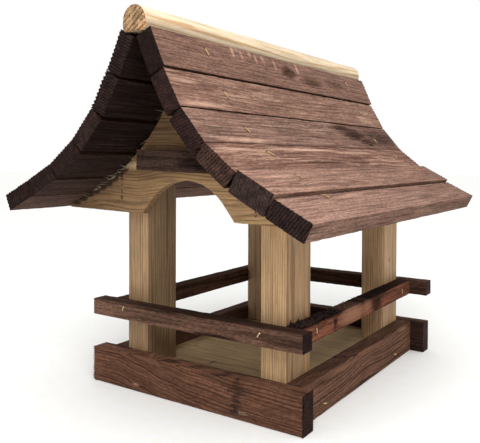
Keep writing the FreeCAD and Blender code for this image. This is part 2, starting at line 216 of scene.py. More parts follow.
def growth_rings(tree, grain, ring_mm, wander_mm):
    """Late wood from 0 to 1, in rings about the pith, which lies along the grain."""
    wander = uneven(tree, grain, along_mm=110, across_mm=26).node.outputs["Color"]
    wander = add(
        tree, "ShaderNodeVectorMath", {0: wander, 1: (0.5, 0.5, 0.5)}, operation="SUBTRACT"
    )
    reach = (0.0, 2 * wander_mm * MM, 2 * wander_mm * MM)
    moved = add(
        tree, "ShaderNodeVectorMath", {0: wander, 1: reach, 2: grain}, operation="MULTIPLY_ADD"
    )
    flat = add(tree, "ShaderNodeVectorMath", {0: moved, 1: (0, 1, 1)}, operation="MULTIPLY")
    distance = add(tree, "ShaderNodeVectorMath", {0: flat}, "Value", operation="LENGTH")
    # Along a piece the rings drift, by up to this many of them
    ring_drift = 2.8
    drift = uneven(tree, grain, along_mm=300, across_mm=11)
    drift = add(tree, "ShaderNodeMath", {0: drift, 1: ring_drift}, operation="MULTIPLY")
    turns = add(
        tree, "ShaderNodeMath", {0: distance, 1: 1 / (ring_mm * MM), 2: drift},
        operation="MULTIPLY_ADD",
    )
    # In each ring, late wood comes on slowly and ends sharply
    part = add(tree, "ShaderNodeMath", {0: turns}, operation="FRACT")
    rise = add(
        tree, "ShaderNodeMapRange", {"Value": part, "From Min": 0.45, "From Max": 0.85},
        interpolation_type="SMOOTHSTEP",
    )
    fall = add(
        tree, "ShaderNodeMapRange",
        {"Value": part, "From Min": 0.9, "From Max": 1.0, "To Min": 1.0, "To Max": 0.0},
    )
    late = add(tree, "ShaderNodeMath", {0: rise, 1: fall}, operation="MULTIPLY")
    # No two years are alike
    year = add(tree, "ShaderNodeMath", {0: turns}, operation="FLOOR")
    year = add(tree, "ShaderNodeTexWhiteNoise", {"W": year}, noise_dimensions="1D")
    year = add(tree, "ShaderNodeMapRange", {"Value": year, "To Min": 0.35, "To Max": 1.0})
    return add(tree, "ShaderNodeMath", {0: late, 1: year}, operation="MULTIPLY")


def shaded(tree, base, patterns, tint):
    """A colour made lighter and darker by patterns, then by the piece's tone and painted shading.

    Each pattern comes with the range it is read over, and the shares of the colour at its ends.
    """
    shares = [
        add(
            tree, "ShaderNodeMapRange",
            {"Value": pattern, "From Min": start, "From Max": end, "To Min": low, "To Max": high},
        )
        for pattern, (start, end), (low, high) in patterns
    ]
    for share in (*shares, tint):
        base = add(
            tree, "ShaderNodeMix", {SHARE: 1.0, FIRST: base, SECOND: share}, MIXED,
            data_type="RGBA", blend_type="MULTIPLY",
        )
    return base


def worn_streaks(tree, base, grain, wear, worn):
    """A colour with streaks where the stain is worn off the raised fibre."""
    streak = uneven(tree, grain, along_mm=60, across_mm=2.3, detail=3.0, rough=0.65)
    streak = add(tree, "ShaderNodeMapRange", {"Value": streak, "From Min": 0.5, "From Max": 0.58})
    # It is worn in some broad parts more than in others
    broad = uneven(tree, grain, along_mm=130, across_mm=9)
    broad = add(
        tree, "ShaderNodeMapRange",
        {"Value": broad, "From Min": 0.38, "From Max": 0.62, "To Min": 0.2, "To Max": 1.0},
    )
    for share in (broad, wear):
        streak = add(tree, "ShaderNodeMath", {0: streak, 1: share}, operation="MULTIPLY")
    return add(
        tree, "ShaderNodeMix", {SHARE: streak, FIRST: base, SECOND: rgba(worn)}, MIXED,
        data_type="RGBA",
    )


def marked(tree, base, grain, dark_mark, pale_mark, worn):
    """A colour with dark and pale marks, which end raggedly along the fibre."""
    ragged = uneven(tree, grain, along_mm=12, across_mm=1.8, detail=3.0, rough=0.7)
    ragged = add(tree, "ShaderNodeMath", {0: ragged, 1: 1.8, 2: 0.1}, operation="MULTIPLY_ADD")
    for mark, shade, blend in (
        (dark_mark, DARK_MARK, "MULTIPLY"), (pale_mark, rgba(worn), "MIX"),
    ):
        reach = add(tree, "ShaderNodeMath", {0: mark, 1: ragged}, operation="MULTIPLY")
        reach = add(
            tree, "ShaderNodeMapRange", {"Value": reach, "From Min": 0.12, "From Max": 0.8}
        )
        base = add(
            tree, "ShaderNodeMix", {SHARE: reach, FIRST: base, SECOND: shade}, MIXED,
            data_type="RGBA", blend_type=blend,
        )
    return base


def timber_material(
    name, early, late, worn, ring_mm, ring_strength, fibre_mm, fibre_strength, fuzz_strength,
    patch_strength, roughness, bump_mm, wander_mm=3.0, gloss=0.3,
):
    """Timber with rings, fibre, fuzz and patches, and each piece's own marks.

    The marks are dark knots and stains, painted shadow, pale scars, and how far the stain is
    worn in streaks.
    """
    made, tree = empty_material(name)
    grain, marks, tint = [
        add(tree, "ShaderNodeAttribute", None, "Vector", attribute_name=field) for field in FIELDS
    ]
    dark_mark, pale_mark, wear = add(
        tree, "ShaderNodeSeparateXYZ", {"Vector": marks}
    ).node.outputs
    rings = growth_rings(tree, grain, ring_mm, wander_mm)
    # Where the stain is worn, the rings stand out more
    shown = add(
        tree, "ShaderNodeMath", {0: wear, 1: 0.6 * ring_strength, 2: ring_strength},
        operation="MULTIPLY_ADD",
    )
    shown = add(tree, "ShaderNodeMath", {0: shown, 1: rings}, operation="MULTIPLY", use_clamp=True)
    base = add(
        tree, "ShaderNodeMix", {SHARE: shown, FIRST: rgba(early), SECOND: rgba(late)}, MIXED,
        data_type="RGBA",
    )
    base = worn_streaks(tree, base, grain, wear, worn)
    # Patches, fibre and fuzz, each a lighter or darker share of the colour
    patch = uneven(tree, grain, along_mm=60, across_mm=20, detail=3.0)
    fibre = uneven(tree, grain, 24 * fibre_mm, fibre_mm, detail=3.0, rough=0.65)
    fuzz = uneven(tree, grain, along_mm=5, across_mm=1.5, detail=3.0, rough=0.8)
    patterns = (
        (patch, (0.3, 0.7), (1 - patch_strength, 1 + 0.6 * patch_strength)),
        (fibre, (0.4, 0.53), (1 - fibre_strength, 1.06)),
        (fuzz, (0.38, 0.64), (1 - fuzz_strength, 1 + 0.5 * fuzz_strength)),
    )
    base = shaded(tree, base, patterns, tint)
    base = marked(tree, base, grain, dark_mark, pale_mark, worn)
    # Fibre and fuzz stand up; the rings' late wood and the dark marks lie lower
    height = fibre
    for pattern, share in ((rings, -0.35), (fuzz, 0.7), (dark_mark, -1.2)):
        height = add(
            tree, "ShaderNodeMath", {0: pattern, 1: share, 2: height}, operation="MULTIPLY_ADD"
        )
    set_surface(
        tree, base, height, bump_mm, {"Roughness": roughness, "Specular IOR Level": gloss}
    )
    return made


def end_material(name, base_colour, line_colour, line_mm, distortion, bump_mm):
    """Sawn end grain: growth rings crossed by the saw's lines, as deep as a piece's marks say."""
    made, tree = empty_material(name)
    grain, marks, tint = [
        add(tree, "ShaderNodeAttribute", None, "Vector", attribute_name=field) for field in FIELDS
    ]
    depth = add(tree, "ShaderNodeSeparateXYZ", {"Vector": marks}, "X")
    rings = growth_rings(tree, grain, ring_mm=3.0, wander_mm=0.6)
    # Along their run, the lines bend in stretches of 8 mm
    scale = (125.0, 2 * math.pi / (WAVE_BANDS * line_mm * MM), 125.0)
    place = add(tree, "ShaderNodeVectorMath", {0: grain, 1: scale}, operation="MULTIPLY")
    lines = add(
        tree, "ShaderNodeTexWave",
        {
            "Vector": place, "Scale": 1.0, "Distortion": distortion, "Detail": 3.0,
            "Detail Scale": 1.8, "Detail Roughness": 0.7,
        },
        1, bands_direction="Y",
    )
    cut = add(
        tree, "ShaderNodeMapRange",
        {"Value": lines, "From Min": 0.2, "From Max": 0.55, "To Min": 1.0, "To Max": 0.0},
    )
    broken = uneven(tree, grain, along_mm=3.5, across_mm=3.5)
    broken = add(tree, "ShaderNodeMapRange", {"Value": broken, "From Min": 0.36, "From Max": 0.5})
    for share in (broken, depth):
        cut = add(tree, "ShaderNodeMath", {0: cut, 1: share}, operation="MULTIPLY")
    late = add(tree, "ShaderNodeMath", {0: rings, 1: 0.4}, operation="MULTIPLY")
    base = rgba(base_colour)
    for line in (cut, late):
        base = add(
            tree, "ShaderNodeMix", {SHARE: line, FIRST: base, SECOND: rgba(line_colour)}, MIXED,
            data_type="RGBA",
        )
    speckle = uneven(tree, grain, along_mm=1.2, across_mm=1.2, detail=3.0, rough=0.75)
    blotch = uneven(tree, grain, along_mm=7, across_mm=7)
    patterns = ((speckle, (0.35, 0.68), (0.4, 1.7)), (blotch, (0.35, 0.68), (0.65, 1.35)))
    base = shaded(tree, base, patterns, tint)
    height = add(tree, "ShaderNodeMath", {0: cut, 1: -0.5, 2: speckle}, operation="MULTIPLY_ADD")
    set_surface(tree, base, height, bump_mm, {"Roughness": 0.9, "Specular IOR Level": 0.08})
    return made


def spotted_material(name, shade, spot_shade, spot_mm, roughness, metallic, bump_mm):
    """One finish with small spots of another shade, for metal, torn fibre, bark and paint."""
    made, tree = empty_material(name)
    place = add(tree, "ShaderNodeTexCoord", None, "Object")
    spots = uneven(tree, place, spot_mm, spot_mm, detail=3.0, rough=0.6)
    share = add(tree, "ShaderNodeMapRange", {"Value": spots, "From Min": 0.42, "From Max": 0.62})
    base = add(
        tree, "ShaderNodeMix", {SHARE: share, FIRST: rgba(shade), SECOND: rgba(spot_shade)},
        MIXED, data_type="RGBA",
    )
    set_surface(tree, base, spots, bump_mm, {"Roughness": roughness, "Metallic": metallic})
    return made


# Each finish: what makes it, its colours and its values
FINISHES = {
    # Spruce sawn and dipped in brown stain: fuzzy, matt, thinly covered on raised fibre.
    # Its fibre is finer than a pixel, and is drawn about three times as coarse to show
    "stained_sawn_spruce": (
        timber_material, ("slat", "slat_dark", "slat_pale"),
        dict(
            ring_mm=3.8, ring_strength=0.65, fibre_mm=1.6, fibre_strength=0.38,
            fuzz_strength=0.38, patch_strength=0.14, roughness=0.85, gloss=0.06, bump_mm=0.6,
        ),
    ),
    # The same spruce with strong dark rings that stand out in long lines
    "stained_tray_spruce": (
        timber_material, ("board", "board_dark", "board_pale"),
        dict(
            ring_mm=3.2, ring_strength=0.86, fibre_mm=2.0, fibre_strength=0.32,
            fuzz_strength=0.38, patch_strength=0.26, roughness=0.85, gloss=0.08, bump_mm=0.5,
        ),
    ),
    # Rough rails: the rings hardly show under the raised grey-brown fibre
    "weathered_rail_spruce": (
        timber_material, ("board", "board_dark", "board_pale"),
        dict(
            ring_mm=6.0, ring_strength=0.5, fibre_mm=2.8, fibre_strength=0.45,
            fuzz_strength=0.45, patch_strength=0.25, roughness=0.85, gloss=0.08, bump_mm=0.7,
        ),
    ),
    # End grain drinks the stain and turns nearly black, with the saw's fine lines across it,
    # drawn at about twice their real spacing to show
    "stained_sawn_end": (
        end_material, ("sawn_end", "sawn_end_dark"),
        dict(line_mm=2.7, distortion=2.6, bump_mm=0.6),
    ),
    # Planed pine: smooth, satin, fine upright lines
    "planed_pine_post": (
        timber_material, ("post", "post_dark", "post_warm"),
        dict(
            ring_mm=2.5, wander_mm=0.5, ring_strength=0.85, fibre_mm=1.5, fibre_strength=0.24,
            fuzz_strength=0.06, patch_strength=0.14, roughness=0.6, bump_mm=0.12,
        ),
    ),
    # Planed pine with strong level lines
    "planed_pine_gable": (
        timber_material, ("gable", "gable_dark", "gable_pale"),
        dict(
            ring_mm=3.7, wander_mm=4.0, ring_strength=1.0, fibre_mm=1.8, fibre_strength=0.3,
            fuzz_strength=0.15, patch_strength=0.2, roughness=0.65, bump_mm=0.15,
        ),
    ),
    # Clean pale pine, planed round: nearly white with faint warm lines
    "planed_pale_pine": (
        timber_material, ("ridge", "ridge_dark", "ridge"),
        dict(
            ring_mm=4.5, wander_mm=2.0, ring_strength=1.0, fibre_mm=2.2, fibre_strength=0.16,
            fuzz_strength=0.05, patch_strength=0.1, roughness=0.55, bump_mm=0.1,
        ),
    ),
    # Clean end cut, its saw lines burnt brown and drawn coarser than they are, to show
    "sawn_pale_end": (
        end_material, ("ridge_end", "ridge_end_dark"),
        dict(line_mm=4.4, distortion=1.0, bump_mm=0.3),
    ),
    # Floor panel: planed softwood, dull from weather
    "planed_floor_pine": (
        timber_material, ("floor", "floor_dark", "post"),
        dict(
            ring_mm=8.0, wander_mm=5.0, ring_strength=0.6, fibre_mm=2.4, fibre_strength=0.22,
            fuzz_strength=0.1, patch_strength=0.16, roughness=0.75, bump_mm=0.1,
        ),
    ),
    # Staple wire with a thin brass-coloured coat that has come off in spots: a bright glint
    "coated_steel_wire": (
        spotted_material, ("staple", "staple_bare"),
        dict(spot_mm=1.6, roughness=0.4, metallic=0.7, bump_mm=0.05),
    ),
    # The same wire rusted brown where it went through bare pine
    "rusted_steel_wire": (
        spotted_material, ("rust", "staple_bare"),
        dict(spot_mm=1.6, roughness=0.7, metallic=0.2, bump_mm=0.1),
    ),
    # Splinters that the saw tore up: pale inside, weathered grey where the light gets at them
    "torn_pine_fibre": (
        spotted_material, ("splinter", "splinter_dark"),
        dict(spot_mm=3.0, roughness=0.8, metallic=0.0, bump_mm=0.1),
    ),
    # A strip of bark under the stain: almost black, crumbling
    "charred_bark": (
        spotted_material, ("bark", "bark_pale"),
        dict(spot_mm=1.6, roughness=0.95, metallic=0.0, bump_mm=0.5),
    ),
    # Studio floor: matt paint, with a trace of roller marks
    "matt_white_paint": (
        spotted_material, ("stage", "stage_shade"),
        dict(spot_mm=12.0, roughness=0.9, metallic=0.0, bump_mm=0.02),
    ),
}


def material(name):
    """The material of this name, made at its first use."""
    if name in bpy.data.materials:
        return bpy.data.materials[name]
    make, shades, values = FINISHES[name]
    colours = bpy.context.scene.timber_colours
    return make(name, *[getattr(colours, shade) for shade in shades], **values)


# Shapes
# The way a piece's outer face looks, by the first of these words that its name holds
FACINGS = (
    ("slat_left", (-1, 0, 1)), ("slat_right", (1, 0, 1)), ("left", (-1, 0, 0)),
    ("right", (1, 0, 0)), ("front", (0, -1, 0)), ("back", (0, 1, 0)), ("", (0, 0, 1)),
)
# Waves of a sawn face, in turns to the metre
WAVE_PITCHES = (45, 180)
# How fibre tears from a sawn corner: turns to the metre along and across it, and strength
TEAR_PITCHES = ((110, 40, 1.0), (330, 60, 0.6))
# Where a corner starts, by a place's shares of half the width and half the thickness added up
CORNER_STARTS = 1.86
# How deep a saw tooth cuts into a sawn end at most
DEEPEST_TOOTH = 1.3 * MM
# How far from a piece's first end the worn corner reaches
WORN_REACH = 8 * MM
# Rings of points on a sawn end, as shares of its outline
END_RINGS = (0.9, 0.6, 0.3)
# Edges sharper than this stay sharp
SHARP_ANGLE = math.radians(40)
# Corners of a square, counter-clockwise
SQUARE = ((-1, -1), (1, -1), (1, 1), (-1, 1))
# A gable's rows of points from edge to edge, how far its edges fray, and how far they are eased
GABLE_ROWS = 16
DEEPEST_FRAY = 0.5 * MM
GABLE_EASING = 0.4 * MM
# Its fray along and across the edge, and the waves of its planed faces, in turns to the metre
FRAY_PITCHES = (300, 30)
PLANED_PITCH = 60
# Places on an outline that count as one, and a distance too small to see, in metres
SAME_PLACE = 1e-5
HAIR = 1e-6


class Lie:
    """Where a straight piece lies: its middle, its three directions and its three sizes."""

    def __init__(self, node):
        """Read from the CAD node; out is its broad face's normal, on the side that it faces."""
        self.node = node
        mesh = frame["nodes"][node].data
        self.points = [vertex.co.copy() for vertex in mesh.vertices]
        # Area and normal of each pair of opposite faces
        areas = {}
        for face in mesh.polygons:
            normal = face.normal.copy()
            if next(value for value in normal if abs(value) > 0.01) < 0:
                normal.negate()
            key = tuple(round(value, 3) for value in normal)
            areas[key] = (areas.get(key, (0.0,))[0] + face.area, normal)
        largest = sorted(areas.values(), key=lambda pair: -pair[0])
        broad, narrow = largest[0][1], largest[1][1]
        facing = next(way for word, way in FACINGS if word in node)
        out = broad if broad.dot(Vector(facing)) >= 0 else -broad
        along = out.cross(narrow).normalized()
        if max(along, key=abs) < 0:
            along.negate()
        self.turn(along, out.cross(along))

    def turn(self, along, across):
        """Set the directions, and measure the piece along them."""
        self.along, self.across, self.out = along, across, along.cross(across)
        spans = []
        for direction in (self.along, self.across, self.out):
            values = [point.dot(direction) for point in self.points]
            spans.append((min(values), max(values)))
        self.long, self.wide, self.thick = [high - low for low, high in spans]
        self.middle = Vector()
        self.middle = self.at(*[(low + high) / 2 for low, high in spans])

    def at(self, along, across, out):
        """A place by its distances from the piece's middle."""
        return self.middle + self.along * along + self.across * across + self.out * out


def rectangle(wide, thick, corner, step):
    """Points round a rectangle with rounded corners, each with its outward normal."""

    def rounded(side, top, turn):
        angle = math.radians(turn)
        normal = (math.cos(angle), math.sin(angle))
        across = side * (wide / 2 - corner) + corner * normal[0]
        return (across, top * (thick / 2 - corner) + corner * normal[1]), normal

    points = []
    corners = ((1, -1, -90), (1, 1, 0), (-1, 1, 90), (-1, -1, 180))
    for (side, top, start), following in zip(corners, corners[1:] + corners[:1]):
        points += [rounded(side, top, start + turn) for turn in (0, 30, 60, 90)]
        run_from = points[-1][0]
        run_to, normal = rounded(*following)
        parts = max(1, round(math.dist(run_from, run_to) / step))
        for part in range(1, parts):
            share = part / parts
            points.append((tuple(a + (b - a) * share for a, b in zip(run_from, run_to)), normal))
    return points


def pole_section(wide, high, flat, shoulder, step):
    """Points round the ridge pole's section about its box's middle, with outward normals."""
    half = wide / 2
    back_middle = high / 2 - half
    points = []
    turns = max(12, round(math.pi * half / step))
    for turn in range(turns + 1):
        angle = math.pi * turn / turns
        normal = (math.cos(angle), math.sin(angle))
        points.append(((half * normal[0], back_middle + half * normal[1]), normal))
    points.append(((-half, -high / 2 + shoulder), (-1.0, -0.3)))
    points.append(((-flat / 2, -high / 2), (-0.6, -0.8)))
    parts = max(2, round(flat / step))
    for part in range(1, parts):
        points.append(((-flat / 2 + flat * part / parts, -high / 2), (0.0, -1.0)))
    points.append(((flat / 2, -high / 2), (0.6, -0.8)))
    points.append(((half, -high / 2 + shoulder), (1.0, -0.3)))
    return points


class Figure:
    """The figure of one piece: where its pith lies, how its grain sweeps, and its marks.

    Lengths are in mm. pith is across and out from the middle. sweep is (along, across) points of
    a line that the grain follows. Each mark is (kind, along, across, half its length, half its
    width, strength), on all but the inner face, with kind "knot", "dark" or "pale"; some dark
    marks are painted shadow. wear is how far the stain is worn off in streaks. tint
    is the piece's colour share: partly its own tone and partly painted shade and painted light for
    where it stands. inside, between_shade and edges are painted shade: the shares of colour
    left on the inner face, on that face within the gables' span, and on the two narrow faces,
    where an edges share above 1 is painted light; cut is the share of colour on the ends and rim
    how much of it is left along their outline. slope is painted light: how much lighter the piece
    grows in
    100 mm along it. saw is the turn of the saw's lines on the ends, in degrees, and their depth,
    and teeth how far they show at the edge. joint is painted shade: the share of colour left on
    the narrow faces' inner half, which lies where two pieces meet and on the ridge pole faces
    down, and swell how far their outer half has swollen towards the next piece. worn is the radius
    of the lower corner at the first end.
    """

    # Half the distance between the gables, with some to spare
    BETWEEN_GABLES = 140 * MM

    def __init__(
        self, pith, sweep=(), marks=(), wear=0.0, tint=(1, 1, 1), inside=1.0, edges=(1.0, 1.0),
        cut=(1, 1, 1), between_shade=None, rim=(1, 1, 1), slope=0.0, saw=(0, 0.6), teeth=1.0,
        joint=1.0, swell=(0.0, 0.0), worn=1.0,
    ):
        self.pith, self.sweep, self.marks = pith, sweep, marks
        self.wear, self.tint, self.inside, self.edges = wear, tint, inside, edges
        self.between_shade = inside if between_shade is None else between_shade
        self.cut = cut
        self.rim = [a * b for a, b in zip(cut, rim)]
        self.slope, self.joint, self.swell = slope, joint, swell
        self.saw_turn, self.saw_depth = math.radians(saw[0]), saw[1]
        self.teeth, self.worn = teeth, worn

    def grain_at(self, along, across, out):
        """Grain coordinates of a place on the piece, in metres."""
        run, side = along / MM, across / MM
        for kind, mark_run, mark_side, half_long, half_wide, _ in self.marks:
            if kind == "knot":
                # The fibre parts round a knot as water does round a stone
                away_run, away_side = (run - mark_run) * half_wide / half_long, side - mark_side
                square = away_run**2 + away_side**2 + 0.35 * half_wide**2
                side -= away_side * min(0.9, 0.8 * half_wide**2 / square)
        side -= follow(self.sweep, run)
        # The metre added only sets which part of the patterns the piece shows
        return (along + 1.0, (side - self.pith[0]) * MM, out - self.pith[1] * MM)

    def marks_at(self, along, across, outer):
        """Darkness, paleness and wear at a place, from 0 to 1."""
        found = {"knot": 0.0, "dark": 0.0, "pale": 0.0}
        for kind, mark_run, mark_side, half_long, half_wide, strength in self.marks:
            away = math.hypot(
                (along / MM - mark_run) / half_long, (across / MM - mark_side) / half_wide
            )
            if outer and away < 1:
                found[kind] = max(found[kind], strength * (1 - away**2))
        return (max(found["knot"], found["dark"]), found["pale"], self.wear)

    def tint_and_shading_at(self, normal, along, out=0.0):
        """Tone with painted shade and painted light on a face with this normal, across and out."""
        share = 1.0
        # Painted shade turns more red as it darkens, and painted light paler, but barely on the
        # inner face
        redder_in_shade = (1.0, 1.1, 1.15)
        # Painted shade on the inner face, with a share of its own within the gables' span
        if normal[1] < -0.7:
            share = self.between_shade if abs(along) < self.BETWEEN_GABLES else self.inside
            redder_in_shade = (1.0, 1.0, 0.97)
        # Painted shade and painted light on the two narrow faces, darker still on their inner half
        elif abs(normal[0]) > 0.7:
            share = self.edges[1 if normal[0] > 0 else 0] * (1.0 if out > 0 else self.joint)
        # Painted light that grows or fades along the piece
        share *= 1 + self.slope * along / (100 * MM)
        return [value * share**power for value, power in zip(self.tint, redder_in_shade)]

    def cut_grain_at(self, along, across, out):
        """Grain coordinates on a sawn end, turned as the saw went."""
        side, rise = math.cos(self.saw_turn), math.sin(self.saw_turn)
        return self.grain_at(along, across * side - out * rise, across * rise + out * side)


def follow(points, run):
    """The height of a smooth line through these points at this run."""
    if not points:
        return 0.0
    if run <= points[0][0]:
        return points[0][1]
    for (x1, y1), (x2, y2) in zip(points, points[1:]):
        if run <= x2:
            share = (run - x1) / (x2 - x1)
            return y1 + (y2 - y1) * share * share * (3 - 2 * share)
    return points[-1][1]


def rows_along(long, step):
    """Places along a piece, close together near its two sawn ends."""
    near = [0.0, 1.5 * MM, 3.0 * MM]
    middle = long - 2 * near[-1]
    parts = max(2, round(middle / step))
    inner = [near[-1] + middle * part / parts for part in range(1, parts)]
    places = near + inner + [long - value for value in reversed(near)]
    return [value - long / 2 for value in places]


class Dressing:
    """The points and faces of a piece, and what each point carries for its material."""

    def __init__(self):
        self.places, self.faces, self.finish_of_face = [], [], []
        self.fields = {field: [] for field in FIELDS}

    def put(self, place, grain, marks, tint):
        """Add a point."""
        self.places.append(place)
        for values, value in zip(self.fields.values(), (grain, marks, tint)):
            values.append(value)

    def close(self, face, finish=0):
        """Add a face in the first or second finish."""
        self.faces.append(face)
        self.finish_of_face.append(finish)

    def make(self, name, node, *finishes):
        """Make the piece, in its node's place."""
        piece = add_piece(name, self.places, self.faces, *finishes)
        mesh = piece.data
        mesh.polygons.foreach_set("material_index", self.finish_of_face)
        for field, values in self.fields.items():
            data = mesh.attributes.new(field, "FLOAT_VECTOR", "POINT").data
            data.foreach_set("vector", [number for value in values for number in value])
        mesh.update()
        mesh.shade_smooth()
        mesh.set_sharp_from_angle(angle=SHARP_ANGLE)
        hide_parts(node)
        slot_of(node)
        return piece


def add_piece(name, places, faces, *finishes):
    """Add a piece of these points and faces, which rides on the CAD model."""
    mesh = bpy.data.meshes.new(name)
    mesh.from_pydata(places, [], faces)
    for finish in finishes:
        mesh.materials.append(material(finish))
    piece = bpy.data.objects.new(name, mesh)
    bpy.context.collection.objects.link(piece)
    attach(piece, "root")
    return piece


def slot_of(node):
    """The record's material slot of a node."""
    for entry in frame["record"]["subparts"]:
        if entry["node"] == node:
            return entry["material_slot"]
    raise ValueError(node)


def noise_shift(chance):
    """A piece's own place in the surface noise, so that no two pieces are worn alike."""
    return Vector([chance.uniform(-40, 40) for _ in range(3)])


def stick(kind, lie, section, finishes, figure, rough=0.0, edge_loss=0.0, teeth=0.0):
    """A straight piece of timber in a node's place, in finishes for its sides and its ends.

    section goes once round it. Its faces wander by rough, fibre is torn from its corners by
    edge_loss, and the saw leaves teeth of this depth where it came out at the two ends.
    """
    name = kind + "_" + lie.node
    chance = random.Random(name)
    shift = noise_shift(chance)
    rows = rows_along(lie.long, bpy.context.scene.timber_sizes.mesh_step)
    last = len(rows) - 1
    around = len(section)
    dressing = Dressing()

    def raised(run, across, out, normal):
        """How far the timber stands out of its straight shape here."""
        place = Vector((run, across, out))
        wave = sum(noise.noise(place * pitch + shift) for pitch in WAVE_PITCHES) / 2
        torn = sum(
            strength * noise.noise(Vector((run * long, across * wide, out * wide)) + shift)
            for long, wide, strength in TEAR_PITCHES
        )
        # From 0 on the faces to 1 in the corners
        corner = abs(across) / (lie.wide / 2) + abs(out) / (lie.thick / 2) - CORNER_STARTS
        corner = min(1.0, 9 * max(0.0, corner))
        moved = rough * (wave - 0.5) - edge_loss * corner * max(0.0, torn)
        if abs(normal[0]) > 0.3 and out > 0:
            moved += figure.swell[1 if normal[0] > 0 else 0] * MM
        return moved

    def worn_back(run, across):
        """How far the lower corner is worn back from the first end here."""
        if run >= -lie.long / 2 + WORN_REACH:
            return 0.0
        # How far inside the worn corner's circle this place lies
        near = max(0.0, figure.worn * MM - (across + lie.wide / 2)) / (figure.worn * MM)
        fade = 1 - (run + lie.long / 2) / WORN_REACH
        return figure.worn * MM * (1 - math.sqrt(1 - near**2)) * fade

    for row, run in enumerate(rows):
        for index, ((across, out), normal) in enumerate(section):
            # The piece's tone, with painted shade and painted light on this face
            tint = figure.tint_and_shading_at(normal, run, out)
            moved = raised(run, across, out, normal)
            end = 0.0
            if row in (0, last):
                # Every other point is cut in, and those between stand out of the outer face
                tooth = teeth * figure.teeth * chance.uniform(0.5, 1.0)
                if index % 2 == 0:
                    end = min(0.8 * tooth, DEEPEST_TOOTH) * (-1 if row else 1)
                elif normal[1] > 0.3:
                    moved += tooth
            end += worn_back(run, across)
            at = (run + end, across + normal[0] * moved, out + normal[1] * moved)
            outer = at[2] > -0.4 * lie.thick
            dressing.put(lie.at(*at), figure.grain_at(*at), figure.marks_at(*at[:2], outer), tint)
    for row in range(last):
        for index in range(around):
            following = (index + 1) % around
            first, second = row * around, (row + 1) * around
            dressing.close((first + index, first + following, second + following, second + index))
    saw_marks = (figure.saw_depth, 0.0, 0.0)
    centre = [sum(point[0][axis] for point in section) / around for axis in (0, 1)]
    for row in (0, last):
        # Each end has a rim of its own, so that the side's colour and painted shade don't run into
        # it
        rim = range(len(dressing.places), len(dressing.places) + around)
        for place, (at, _) in zip(dressing.places[row * around : (row + 1) * around], section):
            grain = figure.cut_grain_at(rows[row], *at)
            dressing.put(place, grain, saw_marks, figure.rim)
        for share in END_RINGS:
            ring = range(len(dressing.places), len(dressing.places) + around)
            for point, _ in section:
                at = (rows[row], *[mid + (side - mid) * share for mid, side in zip(centre, point)])
                dressing.put(lie.at(*at), figure.cut_grain_at(*at), saw_marks, figure.cut)
            for index in range(around):
                following = (index + 1) % around
                quad = (rim[index], rim[following], ring[following], ring[index])
                dressing.close(quad if row else quad[::-1], 1)
            rim = ring
        dressing.close(tuple(rim) if row else tuple(rim[::-1]), 1)
    return dressing.make(name, lie.node, *finishes)


def sticks(kind, figures, finishes, corner, step_mm, rough, edge_loss=0.0, teeth=0.0):
    """The straight pieces of a table of figures, with corners of this radius.

    step_mm is the distance between the points round a piece's section.
    """
    for node, figure in figures.items():
        lie = Lie(node)
        section = rectangle(lie.wide, lie.thick, corner, step_mm * MM)
        stick(kind, lie, section, finishes, figure, rough, edge_loss, teeth)


def plate_outline(node):
    """The front face's outline of a flat node as line pieces in X and Z."""
    mesh = frame["nodes"][node].data
    count = {}
    for face in mesh.polygons:
        if face.normal.y > -0.9:
            continue
        corners = [mesh.vertices[index].co for index in face.vertices]
        for first, second in zip(corners, corners[1:] + corners[:1]):
            a = (round(first.x, 6), round(first.z, 6))
            b = (round(second.x, 6), round(second.z, 6))
            key = (min(a, b), max(a, b))
            count[key] = count.get(key, 0) + 1
    # A line between two of the face's triangles is there twice
    return [key for key, times in count.items() if times == 1]


def heights_at(outline, x):
    """Lowest and highest point of an outline at this X."""
    found = []
    for (x1, z1), (x2, z2) in outline:
        if x1 <= x <= x2 and x2 > x1:
            found.append(z1 + (z2 - z1) * (x - x1) / (x2 - x1))
        elif x1 == x2 == x:
            found.extend((z1, z2))
    return min(found), max(found)


def columns_along(outline, step):
    """Places in X along an outline, with one at each of its bends."""
    bends = sorted({point[0] for line in outline for point in line})
    columns = []
    for first, second in zip(bends, bends[1:]):
        if second - first < SAME_PLACE:
            continue
        parts = max(1, round((second - first) / step))
        columns += [first + (second - first) * part / parts for part in range(parts)]
    # The outline's ends may be upright, so the end places lie a hair inside them
    columns[0] += HAIR
    return columns + [bends[-1] - HAIR]


